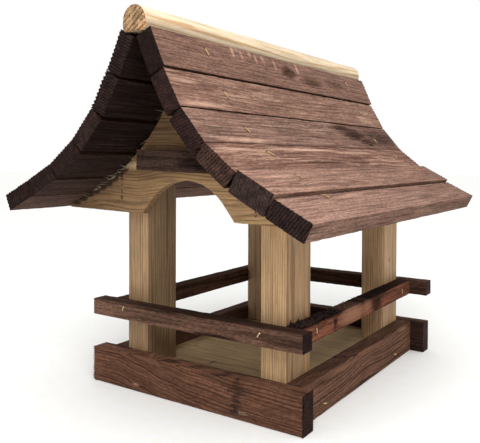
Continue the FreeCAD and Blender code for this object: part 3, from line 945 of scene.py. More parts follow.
def gable_plate(node, figure):
    """A profiled gable board, its sawn edges frayed, in a node's place."""
    name = "planed_" + node
    sizes = bpy.context.scene.timber_sizes
    outline = plate_outline(node)
    low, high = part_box(node)
    middle = (low + high) / 2
    face_out = -1 if middle.y < 0 else 1
    columns = columns_along(outline, 0.6 * sizes.mesh_step)
    shift = noise_shift(random.Random(name))
    dressing = Dressing()
    for y, outward in ((low.y, -1), (high.y, 1)):
        normal = (0, outward * face_out)
        for x in columns:
            bottom, top = heights_at(outline, x)
            place = Vector((x * FRAY_PITCHES[0], y * FRAY_PITCHES[1], 3.0))
            fray = DEEPEST_FRAY * max(0.0, noise.noise(place + shift))
            fray = min(fray, (top - bottom) / 4)
            for row in range(GABLE_ROWS + 1):
                z = bottom + (top - bottom) * row / GABLE_ROWS
                z += fray if row == 0 else -fray if row == GABLE_ROWS else 0.0
                place = Vector((x, y, z))
                moved = sizes.planed_rough * (noise.noise(place * PLANED_PITCH + shift) - 0.5)
                moved -= GABLE_EASING if row in (0, GABLE_ROWS) else 0.0
                across, out = z - middle.z, (y - middle.y) * face_out
                dressing.put(
                    Vector((x, y + outward * moved, z)), figure.grain_at(x, across, out),
                    figure.marks_at(x, across, out > 0), figure.tint_and_shading_at(normal, place.x),
                )
    count = GABLE_ROWS + 1
    back = len(columns) * count
    for column in range(len(columns) - 1):
        for row in range(GABLE_ROWS):
            first = column * count + row
            quad = (first, first + count, first + count + 1, first + 1)
            dressing.close(quad)
            dressing.close(tuple(index + back for index in quad[::-1]))
        for row in (0, GABLE_ROWS):
            first = column * count + row
            quad = (first, first + back, first + back + count, first + count)
            dressing.close(quad if row == 0 else quad[::-1])
    for column in (0, len(columns) - 1):
        for row in range(GABLE_ROWS):
            first = column * count + row
            quad = (first, first + 1, first + 1 + back, first + back)
            dressing.close(quad[::-1] if column else quad)
    dressing.make(name, node, "planed_pine_gable")


# The figure of each piece. Its colour share is partly its own tone and partly painted shade and
# painted light for where it stands under the roof
# Painted shade on the slats' inner and narrow faces, and painted light along most of them
SLATS = {
    "slat_right_1": Figure(
        pith=(-70, -20), sweep=((-215, 0), (215, 2)),
        marks=(
            ("dark", 2, 3, 20, 11, 0.8), ("dark", 52, -4, 34, 10, 0.6), ("knot", 8, 2, 8, 4, 0.6),
            ("dark", 118, 0, 40, 8, 0.45), ("pale", -101, 13, 4, 9, 0.5),
            ("pale", -93, 17, 2, 5, 0.4), ("pale", -86, 12, 2.5, 9, 0.5),
            ("pale", -70, 15, 5, 6, 0.4), ("pale", -60, 11, 3, 9, 0.5),
            ("pale", -46, 13, 6, 6, 0.4), ("pale", -24, 9, 3, 10, 0.45),
            ("pale", 26, 11, 4, 11, 0.5),
        ),
        wear=0.1, tint=(0.95, 0.98, 0.98), inside=0.2, between_shade=0.4, edges=(0.3, 0.2), joint=0.3,
        slope=0.04, cut=(0.38, 0.31, 0.3), saw=(20, 0.5),
    ),
    "slat_right_2": Figure(
        pith=(-55, -12), sweep=((-215, 3), (-60, 0), (215, 1)),
        marks=(
            ("dark", 80, 5, 50, 8, 0.25), ("pale", 156, -6, 22, 4, 0.45),
            ("pale", -185, -15, 45, 3, 0.6), ("pale", -195, 8, 30, 3, 0.5),
            ("dark", -165, 2, 14, 3, 0.5),
        ),
        wear=0.45, tint=(1.08, 1.11, 1.1), inside=0.2, between_shade=0.4, edges=(0.3, 0.2), joint=0.3,
        slope=0.06, cut=(0.66, 0.56, 0.55), saw=(-10, 0.5), teeth=0.8,
    ),
    "slat_right_3": Figure(
        pith=(60, -15),
        marks=(
            ("knot", 125, -14, 7, 3, 1.0), ("dark", 70, 12, 40, 8, 0.8),
            ("dark", 98, 3, 46, 13, 0.85), ("dark", 124, -8, 34, 9, 0.8),
            ("dark", 172, 0, 70, 22, 0.6), ("pale", -150, -15, 60, 3, 0.6),
        ),
        wear=0.45, tint=(0.93, 0.98, 0.99), inside=0.2, between_shade=0.4, edges=(0.9, 0.2), joint=0.2,
        slope=-0.02, swell=(0.5, 0.0), cut=(0.6, 0.5, 0.5), saw=(-20, 0.7), teeth=0.8,
    ),
    "slat_right_4": Figure(
        pith=(40, -25), sweep=((-215, 0), (-120, 4), (-40, 6), (70, 1), (215, -4)),
        marks=(
            ("pale", -180, 11, 40, 2.5, 0.55), ("pale", -150, 4, 30, 2, 0.45),
            ("pale", -60, 13, 90, 2.5, 0.7), ("pale", 60, 10, 60, 2.5, 0.6),
            ("dark", -20, -8, 130, 2.5, 0.6), ("dark", 60, 1, 90, 2, 0.6),
            ("dark", -60, 6, 80, 1.8, 0.5),
        ),
        wear=0.7, tint=(0.9, 0.87, 0.86), inside=0.2, between_shade=0.4, edges=(0.15, 0.2), joint=0.15,
        swell=(0.3, 0.5), cut=(1.3, 1.16, 1.03), saw=(-15, 0.8), teeth=0.8,
    ),
    "slat_right_5": Figure(
        pith=(-70, -60),
        marks=(("pale", -170, 6, 40, 3, 0.4), ("dark", -165, -6, 14, 1.2, 0.7)),
        wear=0.2, tint=(1.22, 1.28, 1.28), inside=0.2, between_shade=0.4, edges=(0.7, 0.2), joint=0.15,
        slope=-0.06, cut=(0.88, 0.92, 0.93), saw=(50, 0.5), teeth=0.5,
    ),
    "slat_right_6": Figure(
        pith=(65, -50),
        marks=(("pale", -100, 12, 50, 3, 0.4), ("dark", 40, 8, 60, 6, 0.25)),
        wear=0.25, tint=(1.17, 1.24, 1.26), inside=0.25, between_shade=0.4, edges=(0.75, 0.2),
        slope=-0.06, cut=(0.58, 0.56, 0.55), rim=(1.5, 1.4, 1.4), saw=(-15, 0.9),
    ),
    "slat_left_1": Figure(
        pith=(50, -30), wear=0.2, tint=(0.95, 0.95, 0.95), inside=0.085, between_shade=0.3,
        edges=(0.2, 0.2), swell=(0.4, 0.4), cut=(0.5, 0.52, 0.5), saw=(0, 0.9), teeth=1.3,
    ),
    "slat_left_2": Figure(
        pith=(-40, -25), wear=0.5, inside=0.075, between_shade=0.3, edges=(0.2, 0.2), swell=(0.4, 0.4),
        cut=(0.56, 0.52, 0.52), saw=(8, 1.0), teeth=2.1,
    ),
    "slat_left_3": Figure(
        pith=(60, -20), wear=0.6, tint=(0.95, 0.93, 0.9), inside=0.072, between_shade=0.35,
        edges=(0.2, 0.2), swell=(0.4, 0.4), cut=(0.6, 0.56, 0.55), saw=(30, 0.3), teeth=0.7,
    ),
    "slat_left_4": Figure(
        pith=(-60, -20), wear=0.5, inside=0.11, between_shade=0.4, edges=(0.2, 0.2), swell=(0.4, 0.4),
        cut=(0.56, 0.5, 0.49), saw=(-12, 0.8), teeth=0.9,
    ),
    "slat_left_5": Figure(
        pith=(55, -30), wear=0.3, inside=0.2, between_shade=0.55, edges=(0.2, 0.2),
        cut=(0.52, 0.47, 0.46), saw=(10, 0.7), teeth=0.7,
    ),
    "slat_left_6": Figure(
        pith=(-50, -40), wear=0.4, tint=(1.05, 1.05, 1.05), inside=0.36, between_shade=0.8,
        edges=(0.2, 0.8), cut=(0.56, 0.5, 0.48), saw=(-5, 1.0), teeth=0.9,
    ),
}
# Painted shade on the boards' inner faces, and painted shade and painted light on their narrow
# faces
BOARDS = {
    "end_board_front": Figure(
        pith=(-60, -14),
        sweep=((-128, 0), (-95, 0), (-62, -6), (-28, -15), (8, -20), (60, -23), (128, -24)),
        marks=(
            ("dark", 58, 4, 8, 20, 0.45), ("pale", -67, -11, 6, 2, 1.0),
            ("pale", 64, -11, 8, 2, 0.6), ("dark", -60, 12, 80, 5, 0.25),
        ),
        wear=0.4, tint=(0.77, 0.735, 0.72), inside=0.6, edges=(0.75, 1.15), worn=5.0,
        cut=(0.6, 0.5, 0.45), teeth=4.0,
    ),
    "end_board_back": Figure(
        pith=(50, -20), sweep=((-128, 0), (128, 8)), wear=0.2, inside=0.23, edges=(0.6, 0.6),
    ),
    "side_board_left": Figure(
        pith=(60, -25), sweep=((-133, 4), (133, 0)), wear=0.2, tint=(1, 1.06, 1.1), inside=0.62,
        edges=(0.6, 0.6),
    ),
    "side_board_right": Figure(
        pith=(-45, -12), sweep=((-133, 0), (-60, 3), (0, 10), (60, 6), (133, 8)),
        marks=(
            ("dark", -95, 12, 40, 5, 0.5), ("dark", 90, -14, 60, 3, 0.6),
            ("dark", 0, -15, 100, 3, 0.5), ("dark", -20, -4, 80, 4, 0.4),
            ("pale", 110, 14, 20, 3, 0.6), ("pale", -60, 13, 50, 4, 0.4),
        ),
        wear=0.1, tint=(0.9, 0.93, 0.94), inside=0.6, edges=(0.6, 0.6),
    ),
}
# Painted shade on the rails' inner and narrow faces, and painted light fading along the front and
# right rails
RAILS = {
    "end_rail_front": Figure(
        pith=(45, -40),
        marks=(
            ("dark", 35, -8, 36, 4, 1.0), ("dark", -40, 7, 60, 3, 0.6),
            ("dark", 110, -2, 30, 5, 0.5), ("dark", 0, 8.5, 100, 2, 0.6),
        ),
        wear=0.3, tint=(0.77, 0.85, 0.94), inside=0.6, edges=(0.7, 0.6), slope=-0.12,
        cut=(0.38, 0.28, 0.26),
    ),
    "end_rail_back": Figure(
        pith=(-40, -30), wear=0.2, tint=(0.83, 0.86, 0.94), inside=0.46, edges=(0.7, 0.7),
    ),
    "side_rail_left": Figure(
        pith=(40, -45), wear=0.2, tint=(0.85, 0.86, 0.88), inside=0.66, edges=(0.7, 0.7),
    ),
    "side_rail_right": Figure(
        pith=(-50, -30),
        marks=(
            ("dark", 31, 1, 19, 16, 0.85), ("pale", -32, 1, 38, 12, 0.7),
            ("dark", -70, 1, 5, 12, 0.8), ("pale", 4, 1, 16, 10, 0.5),
            ("dark", -98, 6, 20, 4, 0.6), ("dark", -35, 9, 150, 5, 1.0),
            ("dark", 100, -2, 40, 8, 0.4),
        ),
        wear=0.3, tint=(1.0, 0.75, 0.66), inside=0.6, edges=(0.5, 0.16), slope=-0.08,
    ),
}
# Painted shade on the posts, the front left most, and painted light on the front right post's
# narrow faces
POSTS = {
    "post_front_left": Figure(
        pith=(60, 60),
        marks=(("dark", -20, -23, 20, 4, 0.3), ("dark", 10, -16, 60, 2, 0.3)),
        tint=(0.74, 0.72, 0.69), inside=0.72, edges=(0.95, 1.05),
    ),
    "post_front_right": Figure(
        pith=(10, -60),
        marks=(
            ("pale", 30, -5, 60, 4, 0.5), ("pale", -40, -13, 60, 3, 0.6),
            ("pale", -10, 6, 50, 2, 0.4), ("dark", -40, -12, 30, 3, 0.15),
        ),
        tint=(0.78, 0.74, 0.7), edges=(1.2, 1.28),
    ),
    "post_back_left": Figure(
        pith=(60, -20),
        marks=(("dark", 30, 10, 5, 3, 0.6), ("dark", 20, 0, 4, 3, 0.5)),
        tint=(0.85, 0.83, 0.8),
    ),
    "post_back_right": Figure(
        pith=(20, -60),
        marks=(("dark", 2, 3, 3.5, 4, 0.7),),
        tint=(0.98, 0.95, 0.92),
    ),
}
# Painted shadow where the front gable's edge lies open under the slats:
# along, across and half width, in mm
GABLE_EDGE_SHADOW = (
    (-168, -17.5, 2.8), (-157, -12.6, 4.0), (-147, -8.0, 3.2), (-137, -3.5, 4.4), (-127, 1.0, 4.8),
    (-118, 5.4, 5.4), (-109, 10.6, 4.6), (-101, 15.6, 3.4), (-94, 20.4, 4.0), (-87, 26.0, 3.4),
)
# Painted shade on the gables under the roof, the front apex darkest, and painted light growing to
# the right on the front arch
GABLES = {
    "gable_arch_front": Figure(
        pith=(-90, -25), sweep=((-180, -8), (-125, 0), (-80, -3), (-30, 3), (20, 0), (160, 6)),
        marks=(
            ("dark", -97.3, 11, 3, 4, 0.8), ("dark", -97.3, -9, 3, 4, 0.7),
            ("dark", -24, 28, 2.5, 5, 0.5), ("pale", -60, 24, 60, 5, 0.7),
            ("dark", -140, -14, 9, 3, 0.3),
            # Dark marks of painted shadow along the edge under the slats
            *(("dark", along, across, 9, half, 1.4) for along, across, half in GABLE_EDGE_SHADOW),
        ),
        wear=0.1, tint=(0.82, 0.76, 0.71), inside=0.8, slope=0.34,
    ),
    "gable_arch_back": Figure(
        pith=(100, 25), sweep=((-180, 5), (0, 0), (160, -6)), tint=(0.85, 0.82, 0.78),
    ),
    "gable_apex_front": Figure(
        pith=(-150, -20), sweep=((-80, 6), (60, 0)), tint=(0.5, 0.44, 0.41), inside=0.8,
    ),
    "gable_apex_back": Figure(pith=(-140, 20), sweep=((-80, -4), (60, 0)), tint=(0.7, 0.66, 0.62)),
}
# Painted shade on the collars under the roof
COLLARS = {
    "collar_front": Figure(
        pith=(50, -20),
        marks=(("dark", 30, 0, 42, 16, 0.7),),
        wear=0.1, tint=(0.42, 0.5, 0.62), inside=0.8, edges=(0.7, 0.9), cut=(0.5, 0.45, 0.45),
    ),
    "collar_back": Figure(pith=(-50, -25), wear=0.1, tint=(0.5, 0.48, 0.48), inside=0.8),
}
FLOOR = Figure(
    pith=(10, -60),
    marks=(("dark", -81, 25, 9, 1.6, 1.0), ("dark", -45, 78, 3, 3, 0.8)),
    tint=(1.4, 1.36, 1.36),
)
# Painted shade on the ridge pole's flat underside and lower sides
RIDGE = Figure(
    pith=(14, -30), sweep=((-220, 0), (0, 2), (220, -1)), tint=(0.88, 0.83, 0.74), inside=0.6,
    joint=0.8, cut=(0.86, 0.78, 0.76), rim=(1.0, 0.66, 0.44), saw=(-50, 1.0),
)


class BIRDTABLE_OT_slats(bpy.types.Operator):
    """Dress the roof slats as stained sawn spruce"""

    bl_idname = "birdtable.slats"
    bl_label = "Roof slats"

    def execute(self, context):
        sizes = context.scene.timber_sizes
        sticks(
            "sawn", SLATS, ("stained_sawn_spruce", "stained_sawn_end"), sizes.sawn_corner,
            step_mm=2.1, rough=sizes.sawn_rough, edge_loss=sizes.edge_loss,
            teeth=sizes.end_teeth,
        )
        return {"FINISHED"}


class BIRDTABLE_OT_tray(bpy.types.Operator):
    """Dress the tray boards and the floor panel"""

    bl_idname = "birdtable.tray"
    bl_label = "Tray"

    def execute(self, context):
        sizes = context.scene.timber_sizes
        sticks(
            "sawn", BOARDS, ("stained_tray_spruce", "stained_sawn_end"), sizes.board_corner,
            step_mm=1.3, rough=sizes.sawn_rough, edge_loss=0.6 * sizes.edge_loss,
            teeth=0.6 * sizes.end_teeth,
        )
        lie = Lie("floor_panel")
        section = rectangle(lie.wide, lie.thick, sizes.sawn_corner, 3.0 * MM)
        panel = stick("planed", lie, section, ("planed_floor_pine",) * 2, FLOOR)
        turn_grain(panel)
        return {"FINISHED"}


def turn_grain(piece):
    """Turn a panel's grain to run across it instead of along it."""
    field = piece.data.attributes["grain"].data
    values = [0.0] * (3 * len(field))
    field.foreach_get("vector", values)
    for index in range(0, len(values), 3):
        values[index], values[index + 1] = values[index + 1], values[index]
    field.foreach_set("vector", values)


class BIRDTABLE_OT_posts(bpy.types.Operator):
    """Dress the four posts as planed pine"""

    bl_idname = "birdtable.posts"
    bl_label = "Posts"

    def execute(self, context):
        sizes = context.scene.timber_sizes
        sticks(
            "planed", POSTS, ("planed_pine_post",) * 2, sizes.planed_corner, step_mm=3.0,
            rough=sizes.planed_rough,
        )
        return {"FINISHED"}


class BIRDTABLE_OT_rails(bpy.types.Operator):
    """Dress the four rails as weathered sawn spruce"""

    bl_idname = "birdtable.rails"
    bl_label = "Rails"

    def execute(self, context):
        sizes = context.scene.timber_sizes
        sticks(
            "sawn", RAILS, ("weathered_rail_spruce", "stained_sawn_end"), sizes.sawn_corner,
            step_mm=1.3, rough=sizes.sawn_rough, edge_loss=sizes.edge_loss,
            teeth=0.5 * sizes.end_teeth,
        )
        return {"FINISHED"}


class BIRDTABLE_OT_gables(bpy.types.Operator):
    """Dress the gables and their collar battens"""

    bl_idname = "birdtable.gables"
    bl_label = "Gables"

    def execute(self, context):
        sizes = context.scene.timber_sizes
        for node, figure in GABLES.items():
            gable_plate(node, figure)
        sticks(
            "sawn", COLLARS, ("weathered_rail_spruce", "stained_sawn_end"), sizes.sawn_corner,
            step_mm=1.7, rough=sizes.sawn_rough, edge_loss=sizes.edge_loss,
            teeth=0.5 * sizes.end_teeth,
        )
        return {"FINISHED"}


class BIRDTABLE_OT_ridge_pole(bpy.types.Operator):
    """Dress the ridge pole as planed pale pine"""

    bl_idname = "birdtable.ridge_pole"
    bl_label = "Ridge pole"

    def execute(self, context):
        # The roof leans a little to one side, and the pole with it
        across = Lie("collar_front").along
        lie = Lie("ridge_pole")
        lie.turn(Vector((0, 1, 0)), across if across.x < 0 else -across)
        section = pole_section(lie.wide, lie.thick, flat=22 * MM, shoulder=3.7 * MM, step=2 * MM)
        finishes = ("planed_pale_pine", "sawn_pale_end")
        stick("planed", lie, section, finishes, RIDGE, context.scene.timber_sizes.planed_rough)
        return {"FINISHED"}


# Staples
# Those in each slat: along, across, turn in degrees, and how proud one end stands, in mm
SLAT_STAPLES = {
    "slat_right_1": ((-146.2, 4.8, 12, 0.5), (152.7, 5.8, 5, 0.4)),
    "slat_right_2": ((-141.2, -1.1, 14, 0.4), (160.9, 1.7, 10, 0.4)),
    "slat_right_3": ((-140.7, -3.0, 16, 0.8), (149.0, -6.0, 10, 0.3)),
    "slat_right_4": ((-135.0, 5.1, 25, 0.7), (165.4, 4.9, 20, 0.4)),
    "slat_right_5": ((-143.4, 4.1, 15, 0.5), (166.9, 8.0, 10, 0.4)),
    "slat_right_6": ((-141.2, 14.6, 12, 1.8), (178.0, 13.0, 10, 0.5)),
    "slat_left_1": ((-143.0, 3.0, -10, 0.5), (148.0, 1.0, 8, 0.5)),
    "slat_left_2": ((-140.0, -2.0, 12, 0.4), (150.0, 3.0, -6, 0.4)),
    "slat_left_3": ((-145.0, 2.0, -15, 0.6), (146.0, -2.0, 10, 0.5)),
    "slat_left_4": ((-138.0, 1.0, 8, 0.5), (151.0, 2.0, -12, 0.6)),
    "slat_left_5": ((-142.0, -3.0, 14, 0.4), (149.0, 0.0, 6, 0.4)),
    "slat_left_6": ((-144.0, 2.0, -8, 0.7), (147.0, 3.0, 10, 0.5)),
}
# Those in the rails and side boards, likewise; less than nothing proud is sunk into the wood
OTHER_STAPLES = {
    "end_rail_front": ((-84.8, 2.8, -25, -0.3), (83.4, 1.9, -35, -0.15)),
    "end_rail_back": ((-84.0, 1.0, 15, 0.5), (84.0, 0.0, -20, 0.5)),
    "side_rail_right": ((-107.5, 0.9, 20, -0.45), (108.0, -1.0, 10, -0.4)),
    "side_rail_left": ((-108.0, 1.0, -15, 0.5), (107.0, 0.0, 20, 0.5)),
    "side_board_right": ((-92.9, -9.3, 80, 0.8), (83.4, -9.7, 85, 0.6)),
    "side_board_left": ((-90.0, -9.0, 80, 0.6), (88.0, -9.5, 95, 0.6)),
}
# Those on the outer faces of the gables: X and Z
GABLE_STAPLES = ((-97.3, 204.8), (-97.3, 191.5), (71.3, 188.5))
# How deep a staple's legs reach here, and how many sides the dark dish at a staple's end has:
# bruised wood with painted shadow in the staple's hole
LEG_DEEP = 1.6 * MM
BRUISE_AND_SHADOW_SIDES = 10


def bent_wire(vertices, faces, path, side, wire):
    """Add a flat wire along a path of places with their upward normals."""
    first = len(vertices)
    for place, up in path:
        for a, b in SQUARE:
            vertices.append(place + side * (a * wire * 0.5) + up * (b * wire * 0.3))
    for step in range(len(path) - 1):
        for corner in range(4):
            near, far = first + step * 4, first + step * 4 + 4
            following = (corner + 1) % 4
            faces.append((near + corner, near + following, far + following, far + corner))
    last = first + 4 * (len(path) - 1)
    faces.append((first + 3, first + 2, first + 1, first))
    faces.append((last, last + 1, last + 2, last + 3))


def staple(vertices, faces, place, way, out, lift, share):
    """Add one staple whose crown runs this way, with one end standing a little proud."""
    sizes = bpy.context.scene.timber_sizes
    half = share * sizes.staple_crown / 2
    side = out.cross(way).normalized()
    rise = sizes.staple_wire * 0.2
    # Out of the wood, along the crown and in again: run, height, and slope of the upward normal
    bends = (
        (-1.0, -LEG_DEEP, -1.0), (-1.0, -0.3 * MM, -0.8), (-0.82, rise, -0.4),
        (-0.2, rise + 0.6 * lift, 0.0), (0.5, rise + lift, 0.2), (1.0, 0.4 * lift, 0.8),
        (1.0, -LEG_DEEP, 1.0),
    )
    path = [
        (place + way * (half * run) + out * height, (out + way * slope).normalized())
        for run, height, slope in bends
    ]
    bent_wire(vertices, faces, path, side, share * sizes.staple_wire)


def staple_bruise_and_shadow(vertices, faces, place, way, out, half_long, half_wide):
    """Add a shallow dark oval dish at a staple's end: bruised wood with painted shadow in its
    hole.
    """
    side = out.cross(way).normalized()
    first = len(vertices)
    vertices.append(place + out * 0.02 * MM)
    for turn in range(BRUISE_AND_SHADOW_SIDES):
        angle = math.tau * turn / BRUISE_AND_SHADOW_SIDES
        reach = 1.0 + 0.25 * math.sin(3 * angle)
        vertices.append(
            place + way * (half_long * reach * math.cos(angle))
            + side * (half_wide * reach * math.sin(angle)) + out * 0.12 * MM
        )
        faces.append((first, first + 1 + turn, first + 1 + (turn + 1) % BRUISE_AND_SHADOW_SIDES))


def staple_places():
    """Each staple's lie, place along and across, turn, lift, way when not turned, size and kind.

    The places are in metres, and the lift in mm.
    """
    for node, staples in SLAT_STAPLES.items():
        lie = Lie(node)
        down = -lie.across if lie.across.z > 0 else lie.across
        for along, across, turn, lift in staples:
            yield lie, along * MM, across * MM, turn, lift, down, 1.0, "coated_staples"
    for node, staples in OTHER_STAPLES.items():
        lie = Lie(node)
        for along, across, turn, lift in staples:
            yield lie, along * MM, across * MM, turn, lift, -lie.across, 0.75, "coated_staples"
    for node in ("gable_arch_front", "gable_arch_back"):
        lie = Lie(node)
        for x, z in GABLE_STAPLES:
            place = Vector((x * MM, 0.0, z * MM)) - lie.middle
            along, across = place.dot(lie.along), place.dot(lie.across)
            yield lie, along, across, 4, 0.1, Vector((0, 0, -1)), 1.0, "rusty_staples"


class BIRDTABLE_OT_staples(bpy.types.Operator):
    """Drive the staples that hold slats, rails, side boards and gables"""

    bl_idname = "birdtable.staples"
    bl_label = "Staples"

    def execute(self, context):
        crown = context.scene.timber_sizes.staple_crown
        finishes = {
            "coated_staples": "coated_steel_wire",
            "rusty_staples": "rusted_steel_wire",
            "staple_bruises": "stained_sawn_end",
        }
        shapes = {name: ([], []) for name in finishes}
        for lie, along, across, turn, lift, down, share, kind in staple_places():
            angle = math.radians(turn)
            way = (down * math.cos(angle) + lie.along * math.sin(angle)).normalized()
            place = lie.at(along, across, lie.thick / 2)
            staple(*shapes[kind], place, way, lie.out, lift * MM, share)
            for end, half_long in ((-1, 1.7), (1, 1.1)):
                staple_bruise_and_shadow(
                    *shapes["staple_bruises"], place + way * (share * crown / 2 * end), way,
                    lie.out, half_long * share * MM, 0.9 * share * MM,
                )
        pieces = {
            name: add_piece(name, *shapes[name], finish) for name, finish in finishes.items()
        }
        # The finish of the bruises and their painted shadow is a timber's, which reads these
        # fields
        bruises_and_shadows = pieces["staple_bruises"].data
        for field, value in (("grain", (0.1, 0.1, 0.1)), ("tint", (0.7, 0.6, 0.6))):
            data = bruises_and_shadows.attributes.new(field, "FLOAT_VECTOR", "POINT").data
            data.foreach_set("vector", value * len(bruises_and_shadows.vertices))
        return {"FINISHED"}


# Torn fibre and bark, all lengths in mm
# Where fibre is torn up along the front gable's top edge: X and how many splinters
TORN_PLACES = (
    (-150.0, 2), (-130.5, 3), (-121.0, 2), (-112.2, 5), (-103.2, 4), (-90.0, 2), (-78.6, 2),
    (-61.8, 2), (-44.1, 2),
)
# How many fibre ends stand out of the outer edges of the slats' sawn ends
TORN_ENDS = (
    ("slat_left_1", 5), ("slat_left_2", 9), ("slat_left_3", 6), ("slat_left_4", 4),
    ("slat_left_5", 3), ("slat_right_5", 3), ("slat_right_6", 5),
)
# Fibre lifted from the front board's face: along, across, length and width
LIFTED_FIBRES = (
    (-70, -11.0, 7, 0.4), (-68, -12.0, 5, 0.25), (61, -10.4, 8, 0.35), (61, -12.0, 12, 0.35),
)
# Strokes of bark left in the front board's face, likewise
BARK_STROKES = (
    (59, 19.5, 3, 1.0), (57, 16.4, 4, 1.0), (61, 14.5, 3, 0.8), (50, 9.8, 6, 1.0),
    (49, 6.8, 6, 1.0), (61, 9.3, 9, 1.2), (60, 5.7, 8, 1.2), (57, 12.0, 4, 1.0), (54, 2.1, 5, 0.9),
    (56, -0.4, 8, 0.9), (53, -5.6, 13, 1.2), (52, -11.3, 8, 1.4), (56, -9.4, 4, 1.0),
)
# Slivers of bark along the right rail's upper edge
RAIL_SLIVERS = 460


def sliver(vertices, faces, place, way, side, long, wide, bend):
    """Add a thin three-sided splinter that starts at a place and bends to one side."""
    up = way.cross(side).normalized()
    first = len(vertices)
    for step in range(4):
        share = step / 3
        middle = place + way * (long * share) + side * (bend * share * share)
        width = wide * (1 - share) + 0.06 * MM
        for turn in (90, 210, 330):
            angle = math.radians(turn)
            vertices.append(
                middle + side * (width * math.cos(angle)) + up * (width * math.sin(angle))
            )
    for step in range(3):
        for corner in range(3):
            near, far = first + 3 * step, first + 3 * step + 3
            following = (corner + 1) % 3
            faces.append((near + corner, near + following, far + following, far + corner))
    faces.append((first + 2, first + 1, first))
    faces.append((first + 9, first + 10, first + 11))


def torn_edge(chance, vertices, faces):
    """Add the splinters along the front gable's top edge."""
    outline = plate_outline("gable_arch_front") + plate_outline("gable_apex_front")
    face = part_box("gable_arch_front")[0].y
    for x, count in TORN_PLACES:
        for _ in range(count):
            at = (x + chance.uniform(-5, 5)) * MM
            top = heights_at(outline, at)[1]
            place = Vector((at, face + 0.2 * MM, top - 1.2 * MM))
            way = Vector(
                (chance.uniform(-0.7, 0.5), -chance.uniform(0.2, 0.7), chance.uniform(0.0, 0.7))
            )
            # A splinter lies against the slats above it and doesn't go into them
            slope = (heights_at(outline, at + 2 * MM)[1] - top) / (2 * MM)
            way.z = min(way.z, way.x * slope + 0.05)
            way.normalize()
            side = way.cross(Vector((0, 0, 1))).normalized()
            sliver(
                vertices, faces, place, way, side, chance.uniform(4.5, 12.0) * MM,
                chance.uniform(0.16, 0.36) * MM, chance.uniform(-2.0, 2.0) * MM,
            )


def torn_ends(chance, vertices, faces):
    """Add the fibre ends that stand out of the slats' sawn ends."""
    for node, count in TORN_ENDS:
        lie = Lie(node)
        for _ in range(count):
            across = chance.uniform(-0.48, 0.48) * lie.wide
            place = lie.at(-lie.long / 2 + 0.8 * MM, across, lie.thick / 2 - 0.4 * MM)
            way = lie.out + lie.along * chance.uniform(-0.9, 0.2)
            way += lie.across * chance.uniform(-0.7, 0.7)
            way.normalize()
            side = way.cross(lie.along).normalized()
            sliver(
                vertices, faces, place, way, side, chance.uniform(1.2, 2.8) * MM,
                chance.uniform(0.2, 0.4) * MM, chance.uniform(-0.5, 0.5) * MM,
            )


def bark_in_board(chance, board, vertices, faces):
    """Add the strokes of bark in the front board's face, each of two slivers."""
    for along, across, long, wide in BARK_STROKES:
        for _ in range(2):
            start = board.at(
                (along + chance.uniform(-1.0, 1.0)) * MM,
                (across + chance.uniform(-0.4, 0.4)) * MM,
                board.thick / 2 - 0.25 * MM,
            )
            way = (board.along + board.across * chance.uniform(-0.12, 0.04)).normalized()
            sliver(vertices, faces, start, way, board.out, 1.2 * long * MM, 1.3 * wide * MM, 0.0)


def bark_on_rail(chance, vertices, faces):
    """Add the bark along the right rail's upper edge, thickest and most upright in front."""
    lie = Lie("side_rail_right")
    for _ in range(RAIL_SLIVERS):
        # Nearly half of it gathers at the front end, and the rest lies all along
        run = abs(chance.gauss(0, 0.2)) if chance.random() < 0.45 else chance.uniform(0, 0.99)
        along = -lie.long / 2 + run * lie.long
        across = lie.wide / 2 - 0.5 * MM
        out = chance.uniform(-0.5, 0.42) * lie.thick
        upright = 1.6 if along < -0.3 * lie.long else 1.0
        way = lie.across * chance.uniform(0.05, upright) + lie.along * chance.choice((-1, 1))
        way += lie.out * chance.uniform(-0.35, 0.35)
        way.normalize()
        # Slivers shrink to half size over the first part of the rail
        near = max(0.5, 1 - (along + lie.long / 2) / (0.6 * lie.long))
        sliver(
            vertices, faces, lie.at(along, across, out), way, lie.out,
            chance.uniform(2.5, 7.0) * near * MM, chance.uniform(0.5, 1.2) * near * MM,
            chance.uniform(-1.0, 1.0) * MM,
        )


class BIRDTABLE_OT_torn_fibre(bpy.types.Operator):
    """Add the splinters on gable, slats and front board, and the bark on board and right rail"""

    bl_idname = "birdtable.torn_fibre"
    bl_label = "Torn fibre and bark"

    def execute(self, context):
        chance = random.Random("torn fibre")
        board = Lie("end_board_front")

        vertices, faces = [], []
        torn_edge(chance, vertices, faces)
        torn_ends(chance, vertices, faces)
        way = (board.along + board.across * 0.1 + board.out * 0.06).normalized()
        for along, across, long, wide in LIFTED_FIBRES:
            start = board.at(along * MM, across * MM, board.thick / 2)
            sliver(vertices, faces, start, way, board.out, long * MM, wide * MM, 0.2 * MM)
        add_piece("torn_fibres", vertices, faces, "torn_pine_fibre")

        vertices, faces = [], []
        bark_in_board(chance, board, vertices, faces)
        add_piece("bark_in_front_board", vertices, faces, "charred_bark")

        vertices, faces = [], []
        bark_on_rail(chance, vertices, faces)
        add_piece("bark_on_right_rail", vertices, faces, "charred_bark")
        return {"FINISHED"}


# Stage
# The photo's camera: its place, its turn about Z, its tilt and roll, its lens and its shift
CAMERA_PLACE = Vector((383.1, -605.0, 236.4)) * MM
CAMERA_TURN = math.radians(32.72)
CAMERA_TILT = math.radians(-0.96)
CAMERA_ROLL = math.radians(0.25)
CAMERA_LENS = 46.49
CAMERA_SHIFT = (-0.0625, -0.108)
# Half the studio floor's side, in metres
FLOOR_HALF = 9


